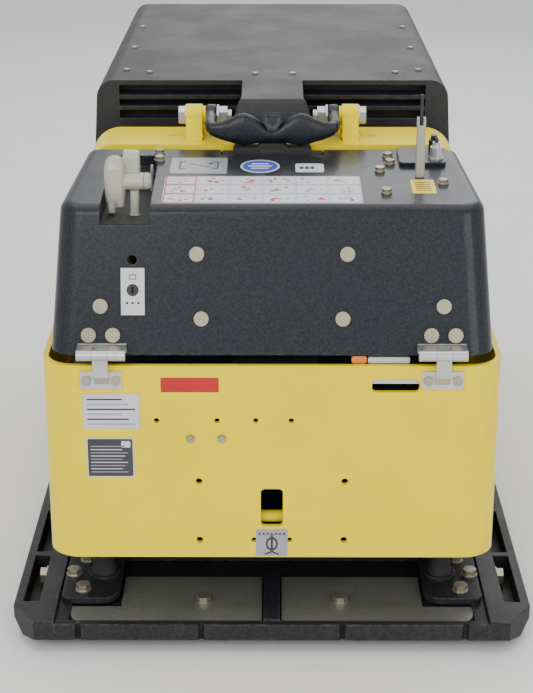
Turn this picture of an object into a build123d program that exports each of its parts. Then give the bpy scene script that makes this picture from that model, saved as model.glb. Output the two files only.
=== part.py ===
from build123d import *
import math
import os

# Remote-controlled reversible plate compactor, built as separate pieces in millimetres.
# Origin: on the ground under the middle of the machine. +X right, +Y to the rear, +Z up.

# ---------------------------------------------------------------- overall sizes
LENGTH = 1220.0              # base plate, front lip to rear lip
BASE_WIDTH = 640.0           # base plate without the bolt-on extension plates
EXTENSION_WIDTH = 65.0       # each extension plate
GUARD_WIDTH = 654.0          # yellow guard, outside
GUARD_LENGTH = LENGTH - 70.0
GUARD_BOTTOM = 140.0
GUARD_TOP = 441.0

# ---------------------------------------------------------------- fits and gaps
RUN_GAP = 0.05               # radial clearance of a shaft in its own bearing
FIT_GAP = 0.05               # radial clearance of a part mounted on its shaft
HOLE_GAP = 0.4               # radial clearance of a bolt in its hole
PART_GAP = 0.3               # gap between neighbours that must not rub

# ---------------------------------------------------------------- base plate
BASE_FLOOR = 30.0            # top of the plate between its rims
LIP_LOW = 21.0
LIP_HIGH = 47.0
LIP_DEPTH = 12.0
SOLE_FLAT = 940.0            # flat length of the sole between the upturned ends
RIM_WIDTH = 20.0
RIM_HIGH = 45.0
RIB_WIDTH = 24.0
RIB_LENGTH = 153.0
RIB_HIGH = 50.0
CROSS_RIB_INSET = 230.0      # from the lip's end to the rib
CROSS_RIB_DEPTH = 16.0
CROSS_RIB_HIGH = 62.0
NOTCH_X = (104.0, 285.0)
NOTCH_WIDTH = 12.0
NOTCH_DEPTH = 8.0
POCKET_FLOOR = 39.0          # top of the casting under the pocket plates
POCKET_GAP = 2.5             # slot between the centre rib and a pocket plate
POCKET_THICK = 4.0
POCKET_CORNER = 30.0
POCKET_BOLT_X = 103.0
POCKET_BOLT_INSET = 67.0     # from the lip's inner wall to the bolt

# ---------------------------------------------------------------- extension plates
EXT_TOP = 52.0
EXT_BOTTOM = 8.0
EXT_WALL = 13.0              # outer wall
EXT_INNER_WALL = 28.0        # wall against the base plate
EXT_FLOOR = 20.0
EXT_CHAMFER_X = 35.0
EXT_CHAMFER_Y = 48.0
EXT_BEVEL = 26.0
EXT_RIBS = 7
EXT_RIB_THICK = 12.0
EXT_BOLT_BAYS = ((0, 36.6), (2, 8.9))     # bay from the end, distance from its middle
EXT_BOLT_Z = 36.0
EXT_BOLT_R = 8.0

# ---------------------------------------------------------------- buffers under the deck
BRACKET_X = (230.0, 316.0)
BRACKET_INSET = (65.0, 205.0)             # from the lip's end
BRACKET_THICK = 10.0
BRACKET_CORNER = 26.0
BRACKET_MARGIN = 4.0
BRACKET_BOLTS = ((304.0, 140.0), (285.0, 91.0), (287.0, 186.0))     # X, inset from the lip's end
BRACKET_BOLT_R = 6.0
BRACKET_BOLT = 32.0          # shank lengths
POCKET_BOLT = 20.0
EXT_BOLT = 45.0
BUFFER_X = 258.0
BUFFER_INSET = 140.0
BUFFER_R = 19.0
BUFFER_DISC_R = 24.0
BUFFER_DISC = 6.0
BUFFER_WAIST = 3.0           # the rubber is thinner by this between its ends
DECK_BOTTOM = 150.0
DECK_THICK = 12.0
DECK_CORNER = 46.0
DECK_OPENING_X = 262.0
DECK_OPENING_BACK = 240.0
BELT_OPENING = 70.0          # further run of the opening for the belt

# ---------------------------------------------------------------- guard
GUARD_WALL = 8.0
GUARD_CORNER = 48.0
PATTERN_X = 105.0            # bolt pattern on the guard's front face
PATTERN_Z = (168.0, 262.0)
PATTERN_R = 5.0
SMALL_HOLES = ((-164.0, 357.0), (-78.0, 357.0), (-23.0, 357.0), (27.5, 357.0), (-26.0, 168.0), (26.0, 168.0))
SMALL_HOLE_R = 4.0
FACE_BOLTS = ((-116.0, 330.0), (-71.5, 330.0))
FACE_BOLT_R = 3.0
LASHING_SLOT = (16.0, 28.0, 88.0)         # half width, low and high above the deck
LASHING_CORNER = 6.0
LASHING_BAR_R = 9.0
LASHING_BAR_HALF = 40.0
LASHING_CHEEK = 6.0
GRIP_SLOT = (141.0, 208.0, 401.0, 421.0)  # left, right, low, high
GUARD_SIDE_BOLT_Y = (120.0, 430.0)
GUARD_BOLT_R = 6.0
PLATE_THICK = 1.0
RATING_PLATES = ((-268.0, -187.0, 344.0, 399.0), (-265.0, -197.0, 269.0, 331.0))

# ---------------------------------------------------------------- front hood
HOOD_BOTTOM = 455.0
HOOD_FRONT_Y = 5.0 - GUARD_LENGTH / 2
HOOD_BACK_Y = -272.0
HOOD_HALF = 315.0
HOOD_LEAN = 0.2435           # front face, run back for each unit up
HOOD_TAPER_Y = 0.0685        # sides, run in for each unit back
HOOD_TAPER_Z = 0.0603        # sides, run in for each unit up
HOOD_TOP_FRONT_Z = 657.0     # height of the top where it meets the front face
HOOD_TOP_RISE = 0.0716
HOOD_CORNER = 34.0
HOOD_EDGE = 16.0
HOOD_WALL = 5.0
HINGE_Y = HOOD_FRONT_Y - 22.0
HINGE_Z = 463.0
HINGE_X = (204.0, 272.0)
HINGE_STEM_X = (229.0, 250.0)
HINGE_R = 8.0
HINGE_PIN_R = 4.0
HINGE_LEAF = 3.0
HINGE_FLANGE = 8.4           # top of the flange over the pin
CLAMP_X = (211.0, 270.0)
CLAMP_Z = (406.0, 433.0)
HOOD_FACE_BOLTS = ((-105.0, 593.0), (105.0, 593.0), (-99.0, 505.0), (99.0, 505.0), (-240.0, 522.0),
                   (240.0, 522.0), (-223.0, 482.5), (223.0, 482.5), (-257.0, 482.5), (257.0, 482.5))
HOOD_TOP_BOLTS = ((-170.0, -290.0), (-168.0, -322.0), (173.0, -306.0), (174.5, -337.0), (158.0, -370.0),
                  (162.0, -464.0), (246.0, -424.0))
HOOD_BOLT_R = 5.0
BAIL_NOTCH = (78.0, -296.0)  # half width, forward edge
LEVER_RECESS_X = (-240.0, -170.0)
LEVER_RECESS_Z = 632.0
LEVER_RECESS_BACK = HOOD_FRONT_Y + 225.0
LEVER_STEP_Z = 655.0
LEVER_STEP = (-55.0, 45.0)   # run of the shallow step from the recess's back
SWITCH_X = -194.5
SWITCH_PLATE = (509.0, 575.0, 33.0, 2.0)  # low, high, width, thickness
SWITCH_Z = 544.0
SWITCH_R = 8.0
LAMP_HOLE = (-195.0, 585.0, 6.0)

# ---------------------------------------------------------------- latch lever and antenna
LEVER_Y = HOOD_FRONT_Y + 95.0
LEVER_Z = 681.0
LEVER_HUB_R = 12.0
LEVER_PIN_R = 5.0
LEVER_HUB_X = (-207.0, -180.0)
LEVER_EAR_X = (-179.5, -171.0)
LEVER_BODY_X = (-236.0, -207.0)
ANTENNA = (214.6, -391.0)
ANTENNA_R = 6.0
ANTENNA_FOOT = 2.0           # the foot is wider than the sleeve by this
ANTENNA_SLEEVE_TOP = 753.0
WHIP_R = 2.2
WHIP_TOP = 786.0
ANTENNA_BRACKET = (188.0, 257.0, -350.0, -276.0)

# ---------------------------------------------------------------- lifting arch and bail
ARCH_HALF = 285.0
ARCH_TOP = 680.0
ARCH_Y = (-260.0, -146.0)
ARCH_WALL = 12.0
ARCH_SHOULDER = 45.0
EAR_X = (108.0, 133.0)
PIVOT_Y = -200.0
PIVOT_Z = 712.0
EAR_R = 17.0
BAIL_BOLT_R = 8.0
BAIL_EYE_X = (86.0, 103.0)
BAIL_BAR_Y = (-285.0, -261.0)
BAIL_LOBE_X = 42.0
BAIL_LOBE_Z = (681.0, 730.0)
BAIL_WAIST_Z = (688.0, 713.0)
BAIL_ROD_Z = (698.0, 715.0)
BAIL_TIP = (97.0, 690.0, 722.0)           # half width of the body, low and high at its tips
BAIL_THIN = (77.0, -277.0)   # beyond this X the body stays behind this Y
NUT_AF = 24.0
NUT_H = 13.0
WASHER_RATIO = 0.64          # washer radius over the head's width across flats
POCKET_HEAD = (19.0, 7.0)    # width across flats, head height
BRACKET_HEAD = (19.0, 8.0)
EXT_HEAD = (24.0, 10.0)
SIDE_HEAD = (17.0, 6.0)
FACE_HEAD = (9.5, 4.0)
HOOD_TOP_HEAD = (12.5, 5.0)
HOOD_FACE_HEAD = (10.4, 4.0)  # radius, height
CLAMP_HEAD = (7.0, 3.0)
RIVET_HEIGHT = 2.5

# ---------------------------------------------------------------- rear hood
REAR_FRONT_Y = -85.0
REAR_BACK_Y = GUARD_LENGTH / 2
REAR_HALF = 300.0
REAR_TAPER_Y = 0.02          # sides, run in for each unit back
REAR_TAPER_Z = 0.06          # sides, run in for each unit up
REAR_BOTTOM = 441.0
REAR_TOP_FRONT = 742.0
REAR_TOP_BACK = 758.0
REAR_TOP_BACK_Y = REAR_BACK_Y - 21.0
REAR_BACK_Z = 627.0          # foot of the sloping back
REAR_EDGE = 28.0
REAR_WALL = 6.0
SPINE_HALF = 48.0
SPINE_FRONT_Y = -235.0
SPINE_NOSE = 22.0            # length of the sloping nose
SPINE_DEPTH = 12.0           # of the nose's front edge
SPINE_ROOT = 30.0            # run of the tongue inside the hood
SPINE_NOSE_Z = 700.0
LOUVRE_X = (50.0, 247.0)
LOUVRE_Z = (680.0, 734.0)
VENT = (60.0, 230.0, 500.0, 26.0, 10.0)   # rear vents: left, right, lowest, pitch, height
VENTS = 4
RIVETS = ((-240.0, -14.0), (240.0, -14.0), (-201.0, -30.0), (201.0, -30.0), (-28.0, -40.0), (33.0, -40.0),
          (-240.0, 155.0), (240.0, 155.0), (-238.0, 330.0), (238.0, 330.0))
RIVET_R = 5.0

# ---------------------------------------------------------------- exciter
EXCITER_HALF_X = 190.0
SHAFT_SPREAD = 120.0         # between the two eccentric shafts
EXCITER_HALF_Y = SHAFT_SPREAD + 25.0
EXCITER_TOP = 230.0
EXCITER_WALL = 15.0
EXCITER_LID = 12.0
EXCITER_FLANGE = (50.0, 20.0)             # reach, thickness
SHAFT_Z = 130.0
SHAFT_R = 20.0
BEARING_R = 40.0
COVER_R = 54.0
COVER_THICK = 8.0
ECCENTRIC_R = 50.0
GEAR_TEETH = 24
GEAR_X = (125.0, 150.0)
WEIGHT_X = (-120.0, 110.0)

# ---------------------------------------------------------------- engine and belt drive
CRANK_Y = 375.0
CRANK_Z = DECK_BOTTOM + DECK_THICK + 138.0
CRANK_R = 22.0
ENGINE_X = (-170.0, 150.0)
ENGINE_HALF_Y = 115.0
ENGINE_Z = (CRANK_Z - 100.0, CRANK_Z + 200.0)
ENGINE_WALL = 14.0
ENGINE_FINS = 5
MOUNT_R = 24.0
MUFFLER_R = 34.0
MUFFLER_X = (-140.0, 120.0)
FLYWHEEL_R = 110.0
FLYWHEEL_X = (158.0, 192.0)
PULLEY_X = (215.0, 245.0)
PULLEY_R = 56.0
BELT_THICK = 10.0
BELT_WIDTH = 22.0

# ---------------------------------------------------------------- cooling and supplies
RADIATOR_Y = (-60.0, -16.0)
RADIATOR_HALF = 240.0
RADIATOR_Z = (330.0, 665.0)
RADIATOR_TANK = 30.0         # width of an end tank
RADIATOR_SKIN = 6.0          # the tanks are deeper than the core by this on each side
FAN_Z = 505.0
FAN_R = 145.0
FAN_BLADES = 7
FAN_HUB_R = 34.0
FAN_SHAFT_R = 6.0
FAN_NOSE_R = 10.0            # bearing nose of the motor
RING_DEPTH = 50.0            # collar round the fan
TANK_TOP = 405.0
TANK = (-300.0, -60.0, -545.0, -330.0, DECK_BOTTOM + DECK_THICK, TANK_TOP)
BATTERY = (50.0, 300.0, -545.0, -380.0, DECK_BOTTOM + DECK_THICK, 350.0)
NECK = (26.0, 20.0, 22.0)    # outer radius, bore radius, height
CAP_R = 32.0
CAP_GRIPS = 6
CONTROL_Z = (330.0, 520.0)
CONTROL_DEPTH = 60.0


# ================================================================ helpers
def block(x0, x1, y0, y1, z0, z1):
    """Box between six coordinates."""
    return Pos((x0 + x1) / 2, (y0 + y1) / 2, (z0 + z1) / 2) * Box(x1 - x0, y1 - y0, z1 - z0)


def rod_x(x0, x1, y, z, radius):
    """Cylinder along X."""
    return Pos((x0 + x1) / 2, y, z) * Rot(0, 90, 0) * Cylinder(radius, x1 - x0)


def rod_y(x, y0, y1, z, radius):
    """Cylinder along Y."""
    return Pos(x, (y0 + y1) / 2, z) * Rot(90, 0, 0) * Cylinder(radius, y1 - y0)


def rod_z(x, y, z0, z1, radius):
    """Cylinder along Z."""
    return Pos(x, y, (z0 + z1) / 2) * Cylinder(radius, z1 - z0)


def prism_x(points, x0, x1):
    """Polygon in the YZ plane, extruded along X."""
    face = make_face(Polyline([(x0, y, z) for y, z in points], close=True))
    return extrude(face, amount=x1 - x0, dir=(1, 0, 0))


def prism_y(points, y0, y1):
    """Polygon in the XZ plane, extruded along Y."""
    face = make_face(Polyline([(x, y0, z) for x, z in points], close=True))
    return extrude(face, amount=y1 - y0, dir=(0, 1, 0))


def prism_z(points, z0, z1):
    """Polygon in the XY plane, extruded along Z."""
    face = make_face(Polyline([(x, y, z0) for x, y in points], close=True))
    return extrude(face, amount=z1 - z0, dir=(0, 0, 1))


def rounded_block(half_x, half_y, corner, z0, z1):
    """Upright block with rounded corners, centred on the Z axis."""
    plan = Pos(0, 0, z0) * RectangleRounded(2 * half_x, 2 * half_y, corner)
    return extrude(plan, amount=z1 - z0)


def hex_bolt(place, across_flats, head, shank_r, shank):
    """Hexagon bolt with a washer. place: its seat, with Z out of the surface."""
    washer = place * Pos(0, 0, 1.0) * Cylinder(WASHER_RATIO * across_flats, 2.0)
    head_plane = place * Pos(0, 0, 2.0)
    top = extrude(head_plane * RegularPolygon(across_flats / math.sqrt(3), 6), amount=head)
    stem = place * Pos(0, 0, -shank / 2) * Cylinder(shank_r, shank)
    return washer + top + stem


def flat_bolt(place, head_r, head, shank_r, shank):
    """Round flat-headed screw. place: its seat, with Z out of the surface."""
    cap = place * Pos(0, 0, head / 2) * Cylinder(head_r, head)
    stem = place * Pos(0, 0, -shank / 2) * Cylinder(shank_r, shank)
    return cap + stem


def hex_bolts(seats, kind, shank_r, shank):
    """One hexagon bolt on each seat. kind: its width across flats and head height."""
    return [hex_bolt(seat, *kind, shank_r, shank) for seat in seats]


def bolt_hole(place, shank_r, depth):
    """Cutter for a bolt's clearance hole."""
    return place * Pos(0, 0, -depth / 2) * Cylinder(shank_r + HOLE_GAP, depth + 4.0)


def mirrored_x(shape):
    """The same shape on the other side of the machine."""
    return mirror(shape, Plane.YZ)


def mirrored_y(shape):
    """The same shape at the other end of the machine."""
    return mirror(shape, Plane.XZ)


def solids_of(shapes):
    """Flat list of the solids in a list of shapes."""
    found = []
    for shape in shapes:
        found.extend(shape.solids())
    return found


def write(node, *shapes):
    """Write one node as a STEP file, each piece as its own solid."""
    solids = solids_of(shapes)
    export_step(solids[0] if len(solids) == 1 else Compound(solids), f"parts/{node}.step")


# ================================================================ base plate
HALF_LENGTH = LENGTH / 2
HALF_BASE = BASE_WIDTH / 2
LIP_INNER_Y = HALF_LENGTH - LIP_DEPTH
POCKET_BACK_Y = HALF_LENGTH - RIB_LENGTH
CROSS_RIB_Y = HALF_LENGTH - CROSS_RIB_INSET
BRACKET_Y = (HALF_LENGTH - BRACKET_INSET[1], HALF_LENGTH - BRACKET_INSET[0])
BUFFER_Y = HALF_LENGTH - BUFFER_INSET


def sole_face(top):
    """Side section of the sole: flat in the middle, with upturned round ends."""
    flat = SOLE_FLAT / 2
    run = HALF_LENGTH - flat
    radius = (run ** 2 + LIP_LOW ** 2) / (2 * LIP_LOW)
    angle = math.asin(run / radius) / 2
    middle = (flat + radius * math.sin(angle), radius * (1 - math.cos(angle)))
    front = ThreePointArc((0, -flat, 0), (0, -middle[0], middle[1]), (0, -HALF_LENGTH, LIP_LOW))
    rear = ThreePointArc((0, HALF_LENGTH, LIP_LOW), (0, middle[0], middle[1]), (0, flat, 0))
    rest = Polyline((0, -HALF_LENGTH, LIP_LOW), (0, -HALF_LENGTH, top), (0, HALF_LENGTH, top),
                    (0, HALF_LENGTH, LIP_LOW))
    sole = Line((0, flat, 0), (0, -flat, 0))
    return make_face(Wire([*front.edges(), *rest.edges(), *rear.edges(), *sole.edges()]))


def sole_block(x0, x1, top):
    """The sole section extruded between two X values."""
    return Pos(x0, 0, 0) * extrude(sole_face(top), amount=x1 - x0, dir=(1, 0, 0))


def base_plate():
    """Cast base plate with lips, rims, ribs and pocket floors."""
    plate = sole_block(-HALF_BASE, HALF_BASE, CROSS_RIB_HIGH)
    inner_x = HALF_BASE - RIM_WIDTH
    lip_cut = block(-HALF_BASE, HALF_BASE, LIP_INNER_Y, HALF_LENGTH + 1, LIP_HIGH, CROSS_RIB_HIGH + 1)
    floor = block(-inner_x, inner_x, CROSS_RIB_Y + CROSS_RIB_DEPTH, LIP_INNER_Y, POCKET_FLOOR,
                  CROSS_RIB_HIGH + 1)
    rims = block(inner_x, HALF_BASE, -LIP_INNER_Y, LIP_INNER_Y, RIM_HIGH, CROSS_RIB_HIGH + 1)
    middle = block(-inner_x, inner_x, -CROSS_RIB_Y, CROSS_RIB_Y, BASE_FLOOR, CROSS_RIB_HIGH + 1)
    plate = plate - lip_cut - mirrored_y(lip_cut) - floor - mirrored_y(floor)
    plate = plate - rims - mirrored_x(rims) - middle
    rib = block(-RIB_WIDTH / 2, RIB_WIDTH / 2, POCKET_BACK_Y, LIP_INNER_Y, POCKET_FLOOR, RIB_HIGH)
    plate = plate + rib + mirrored_y(rib)
    for x in NOTCH_X:
        notch = prism_z([(x - NOTCH_WIDTH / 2, HALF_LENGTH + 1), (x + NOTCH_WIDTH / 2, HALF_LENGTH + 1),
                         (x, HALF_LENGTH - NOTCH_DEPTH)], 0, LIP_HIGH + 1)
        for cutter in (notch, mirrored_x(notch)):
            plate = plate - cutter - mirrored_y(cutter)
    for seat in pocket_bolt_seats():
        plate = plate - bolt_hole(seat, BRACKET_BOLT_R, POCKET_BOLT + 2.0)
    for seat in bracket_bolt_seats():
        plate = plate - bolt_hole(seat, BRACKET_BOLT_R, BRACKET_BOLT + 2.0)
    for seat in extension_bolt_seats():
        plate = plate - bolt_hole(seat, EXT_BOLT_R, EXT_BOLT + 2.0)
    return plate


def pocket_plate():
    """Dark cover plate in one front pocket, right-hand side."""
    x0 = RIB_WIDTH / 2 + POCKET_GAP
    x1 = HALF_BASE - RIM_WIDTH - PART_GAP
    y0 = -LIP_INNER_Y + PART_GAP
    y1 = -POCKET_BACK_Y
    plate = block(x0, x1, y0, y1, POCKET_FLOOR, POCKET_FLOOR + POCKET_THICK)
    corner = plate.edges().filter_by(Axis.Z).sort_by(lambda edge: edge.center().X - edge.center().Y)[-1]
    plate = fillet(corner, POCKET_CORNER)
    bracket = block(BRACKET_X[0] - BRACKET_MARGIN, x1 + 1, -BRACKET_Y[1] - BRACKET_MARGIN, y1 + 1,
                    POCKET_FLOOR - 1, LIP_HIGH)
    return plate - bracket - bolt_hole(pocket_bolt_seats()[0], BRACKET_BOLT_R, POCKET_BOLT)


def pocket_bolt_seats():
    """Seats of the pocket plates' bolts, the front right one first."""
    z = POCKET_FLOOR + POCKET_THICK
    y = LIP_INNER_Y - POCKET_BOLT_INSET
    return [Pos(sx * POCKET_BOLT_X, sy * y, z) for sy in (-1, 1) for sx in (1, -1)]


# ================================================================ extension plates
def extension_bay(index):
    """Both ends in Y of one open bay of an extension plate, counted from the front."""
    first = HALF_LENGTH - EXT_CHAMFER_Y
    bay = (2 * first - (EXT_RIBS + 1) * EXT_RIB_THICK) / EXT_RIBS
    start = -first + EXT_RIB_THICK + index * (bay + EXT_RIB_THICK)
    return start, start + bay


def extension_bolt_seats():
    """Seats of the bolts through the extension plates' inner walls, axis outwards."""
    x = HALF_BASE + EXT_INNER_WALL
    places = [abs(sum(extension_bay(bay)) / 2 + shift) for bay, shift in EXT_BOLT_BAYS]
    seats = []
    for sx in (1, -1):
        for y in places[::-1]:
            for sy in (1, -1):
                seats.append(Pos(sx * x, sy * y, EXT_BOLT_Z) * Rot(0, 90 * sx, 0))
    return seats


def extension_plate():
    """Right-hand extension plate: a ribbed tray with bevelled underside."""
    x0 = HALF_BASE
    x1 = HALF_BASE + EXTENSION_WIDTH
    outline = [(x0, -HALF_LENGTH), (x1 - EXT_CHAMFER_X, -HALF_LENGTH), (x1, -HALF_LENGTH + EXT_CHAMFER_Y),
               (x1, HALF_LENGTH - EXT_CHAMFER_Y), (x1 - EXT_CHAMFER_X, HALF_LENGTH), (x0, HALF_LENGTH)]
    plate = sole_block(x0, x1, EXT_TOP) & prism_z(outline, 0, EXT_TOP)
    bevel = prism_y([(x1 - EXT_BEVEL, -1), (x1 + 1, -1), (x1 + 1, EXT_BEVEL + EXT_BOTTOM)],
                    -HALF_LENGTH - 1, HALF_LENGTH + 1)
    plate = plate - bevel
    for index in range(EXT_RIBS):
        bay = extension_bay(index)
        plate = plate - block(x0 + EXT_INNER_WALL, x1 - EXT_WALL, *bay, EXT_FLOOR, EXT_TOP + 1)
    for seat in extension_bolt_seats():
        plate = plate - bolt_hole(seat, EXT_BOLT_R, EXT_INNER_WALL + 2.0)
    return plate


# ================================================================ buffers
def bracket_bolt_seats():
    """Seats of the bolts that hold the four buffer brackets."""
    z = RIM_HIGH + BRACKET_THICK
    return [Pos(sx * x, sy * (HALF_LENGTH - inset), z)
            for sy in (-1, 1) for sx in (1, -1) for x, inset in BRACKET_BOLTS]


def buffer_bracket():
    """Front right bracket plate, on its own foot in the corner of the base plate."""
    x0, x1 = BRACKET_X
    y0, y1 = BRACKET_Y
    c = BRACKET_CORNER
    plate = block(x0, x1, -y1, -y0, RIM_HIGH, RIM_HIGH + BRACKET_THICK)
    ends = plate.edges().filter_by(Axis.Z).group_by(Axis.Y)[0]
    plate = fillet(ends.sort_by(Axis.X)[0], c)
    ends = plate.edges().filter_by(Axis.Z).group_by(Axis.Y)[0]
    plate = fillet(ends.sort_by(Axis.X)[-1], c / 2)
    foot_x = HALF_BASE - RIM_WIDTH - PART_GAP
    foot = block(x0 + c, foot_x, -y1 + c, -y0 - BRACKET_MARGIN, POCKET_FLOOR, RIM_HIGH)
    bracket = plate + foot
    for seat in bracket_bolt_seats()[:len(BRACKET_BOLTS)]:
        bracket = bracket - bolt_hole(seat, BRACKET_BOLT_R, BRACKET_BOLT + 2.0)
    return bracket


def buffer_stack():
    """Front right rubber buffer and its two steel discs."""
    low = RIM_HIGH + BRACKET_THICK
    discs = [rod_z(BUFFER_X, -BUFFER_Y, low, low + BUFFER_DISC, BUFFER_DISC_R),
             rod_z(BUFFER_X, -BUFFER_Y, DECK_BOTTOM - BUFFER_DISC, DECK_BOTTOM, BUFFER_DISC_R)]
    z0 = low + BUFFER_DISC
    z1 = DECK_BOTTOM - BUFFER_DISC
    waist = (z1 - z0) / 6
    slim = BUFFER_R - BUFFER_WAIST
    profile = make_face(Polyline((0, 0, z0), (BUFFER_R, 0, z0), (slim, 0, z0 + waist), (slim, 0, z1 - waist),
                                 (BUFFER_R, 0, z1), (0, 0, z1), close=True))
    rubber = Pos(BUFFER_X, -BUFFER_Y, 0) * revolve(profile, Axis.Z)
    return rubber, discs


def four_corners(shape):
    """A front right piece at all four corners."""
    right = [shape, mirrored_y(shape)]
    return right + [mirrored_x(piece) for piece in right]


# ================================================================ deck and guard
GUARD_HALF_X = GUARD_WIDTH / 2
GUARD_HALF_Y = GUARD_LENGTH / 2
GUARD_FACE_Y = -GUARD_HALF_Y
DECK_TOP = DECK_BOTTOM + DECK_THICK


def guard_bolt_seats():
    """Seats of the bolts through the guard's sides into the deck's edge."""
    z = (DECK_BOTTOM + DECK_TOP) / 2
    return [Pos(sx * GUARD_HALF_X, sy * y, z) * Rot(0, 90 * sx, 0)
            for sx in (1, -1) for sy in (1, -1) for y in GUARD_SIDE_BOLT_Y]


def deck_plate():
    """Sprung deck that carries the engine, with an opening over the exciter."""
    half_x = GUARD_HALF_X - GUARD_WALL
    half_y = GUARD_HALF_Y - GUARD_WALL
    deck = rounded_block(half_x, half_y, DECK_CORNER, DECK_BOTTOM, DECK_TOP)
    back = DECK_OPENING_BACK
    deck = deck - block(-DECK_OPENING_X, DECK_OPENING_X, -EXCITER_HALF_Y - RIM_WIDTH, back, DECK_BOTTOM - 1,
                        DECK_TOP + 1)
    deck = deck - block(PULLEY_X[0] - BELT_THICK, DECK_OPENING_X, back - 1, back + BELT_OPENING,
                        DECK_BOTTOM - 1, DECK_TOP + 1)
    for seat in guard_bolt_seats():
        deck = deck - bolt_hole(seat, GUARD_BOLT_R - 1.0, 40.0)
    return deck


def guard_ring():
    """Both guard halves in one piece, before they are parted."""
    outer = rounded_block(GUARD_HALF_X, GUARD_HALF_Y, GUARD_CORNER, GUARD_BOTTOM, GUARD_TOP)
    inner = rounded_block(GUARD_HALF_X - GUARD_WALL, GUARD_HALF_Y - GUARD_WALL, GUARD_CORNER - GUARD_WALL,
                          GUARD_BOTTOM - 1, GUARD_TOP + 1)
    ring = outer - inner
    for seat in guard_bolt_seats():
        ring = ring - bolt_hole(seat, GUARD_BOLT_R - 1.0, GUARD_WALL + 2.0)
    return ring


def face_cut(x0, x1, z0, z1, corner):
    """Cutter for a round-cornered slot in the guard's front face."""
    plane = Plane(origin=((x0 + x1) / 2, GUARD_FACE_Y - 5, (z0 + z1) / 2), x_dir=(1, 0, 0), z_dir=(0, -1, 0))
    return extrude(plane * RectangleRounded(x1 - x0, z1 - z0, corner), amount=-(GUARD_WALL + 10))


def guard_front():
    """Front half of the guard, with its holes and slots."""
    front = guard_ring() & block(-500, 500, -700, 0, 0, 600)
    face = GUARD_FACE_Y
    for x in (-PATTERN_X, PATTERN_X):
        for z in PATTERN_Z:
            front = front - rod_y(x, face - 5, face + GUARD_WALL + 5, z, PATTERN_R)
    for x, z in SMALL_HOLES:
        front = front - rod_y(x, face - 5, face + GUARD_WALL + 5, z, SMALL_HOLE_R)
    for x, z in FACE_BOLTS:
        front = front - rod_y(x, face - 5, face + GUARD_WALL + 5, z, FACE_BOLT_R + HOLE_GAP)
    half, low, high = LASHING_SLOT
    front = front - face_cut(-half, half, DECK_TOP + low, DECK_TOP + high, LASHING_CORNER)
    return front - face_cut(*GRIP_SLOT, LASHING_CORNER)


def guard_rear():
    """Rear half of the guard, with the bolt pattern in its back face."""
    rear = guard_ring() & block(-500, 500, 0, 700, 0, 600)
    for z in PATTERN_Z:
        for x in (-PATTERN_X, PATTERN_X):
            rear = rear - rod_y(x, -GUARD_FACE_Y - 20, -GUARD_FACE_Y + 5, z, PATTERN_R)
    return rear


def lashing_bar():
    """Round bar behind the lashing slot, with the two plates that carry it."""
    inner = GUARD_FACE_Y + GUARD_WALL
    radius = LASHING_BAR_R
    half = LASHING_BAR_HALF
    bar_y = inner + 2 * radius
    z = DECK_TOP + LASHING_SLOT[1] + radius / 2
    bar = rod_x(-half, half, bar_y, z, radius)
    cheek = block(half - LASHING_CHEEK, half, inner, bar_y + 1.5 * radius, z - 1.8 * radius, z + 2 * radius)
    return bar + cheek + mirrored_x(cheek)


def slot_backing():
    """Pale plate behind the upper part of the grip slot."""
    left, right, low, high = GRIP_SLOT
    inner = GUARD_FACE_Y + GUARD_WALL
    margin = high - low
    reach = margin / 2
    return block(left - reach, right + reach, inner, inner + HINGE_LEAF, (low + high) / 2, high + reach)


def rating_plates():
    """Two blank metal plates on the guard's face."""
    outer = GUARD_FACE_Y - PLATE_THICK
    return [block(x0, x1, outer, GUARD_FACE_Y, z0, z1) for x0, x1, z0, z1 in RATING_PLATES]


def front_seat(x, y, z):
    """A seat on a face that looks forward."""
    return Pos(x, y, z) * Rot(90, 0, 0)


# ================================================================ front hood
HOOD_HEIGHT = 260.0          # height of the block that the hood is cut from


def hood_half(y, z):
    """Half width of the hood's outside at a point on its side."""
    return HOOD_HALF - HOOD_TAPER_Y * (y - HOOD_FRONT_Y) - HOOD_TAPER_Z * (z - HOOD_BOTTOM)


def hood_face_y(z):
    """Y of the hood's front face at a height."""
    return HOOD_FRONT_Y + HOOD_LEAN * (z - HOOD_BOTTOM)


def hood_top_z(y):
    """Height of the hood's top at a distance along it."""
    return HOOD_TOP_FRONT_Z + HOOD_TOP_RISE * (y - hood_face_y(HOOD_TOP_FRONT_Z))


def hood_block(inset, drop, back):
    """Leaning block of the hood. inset: wall thickness taken off. drop, back: extra length down and back."""
    z0 = HOOD_BOTTOM - drop
    z1 = HOOD_BOTTOM + HOOD_HEIGHT
    side = inset * math.sqrt(1 + HOOD_TAPER_Y ** 2 + HOOD_TAPER_Z ** 2)
    ahead = inset * math.sqrt(1 + HOOD_LEAN ** 2)
    wires = []
    for z in (z0, z1):
        y0 = hood_face_y(z) + ahead
        y1 = HOOD_BACK_Y + back
        a = hood_half(y0, z) - side
        b = hood_half(y1, z) - side
        wires.append(make_face(Polyline((-a, y0, z), (a, y0, z), (b, y1, z), (-b, y1, z), close=True)))
    body = loft(wires, ruled=True)
    down = inset * math.sqrt(1 + HOOD_TOP_RISE ** 2)
    y_a, y_b = -700.0, 0.0
    lid = prism_x([(y_a, hood_top_z(y_a) - down), (y_b, hood_top_z(y_b) - down), (y_b, 1000), (y_a, 1000)],
                  -400, 400)
    body = body - lid
    uprights = [edge for edge in body.edges() if edge.center().Y < -500 and abs(edge.center().X) > 200
                and abs((edge @ 1).Z - (edge @ 0).Z) > 100]
    body = fillet(uprights, HOOD_CORNER - inset)
    top = body.faces().sort_by(Axis.Z)[-1]
    crown = [edge for edge in top.edges() if edge.center().Y < HOOD_BACK_Y + back - 5]
    return fillet(crown, HOOD_EDGE - inset)


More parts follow.
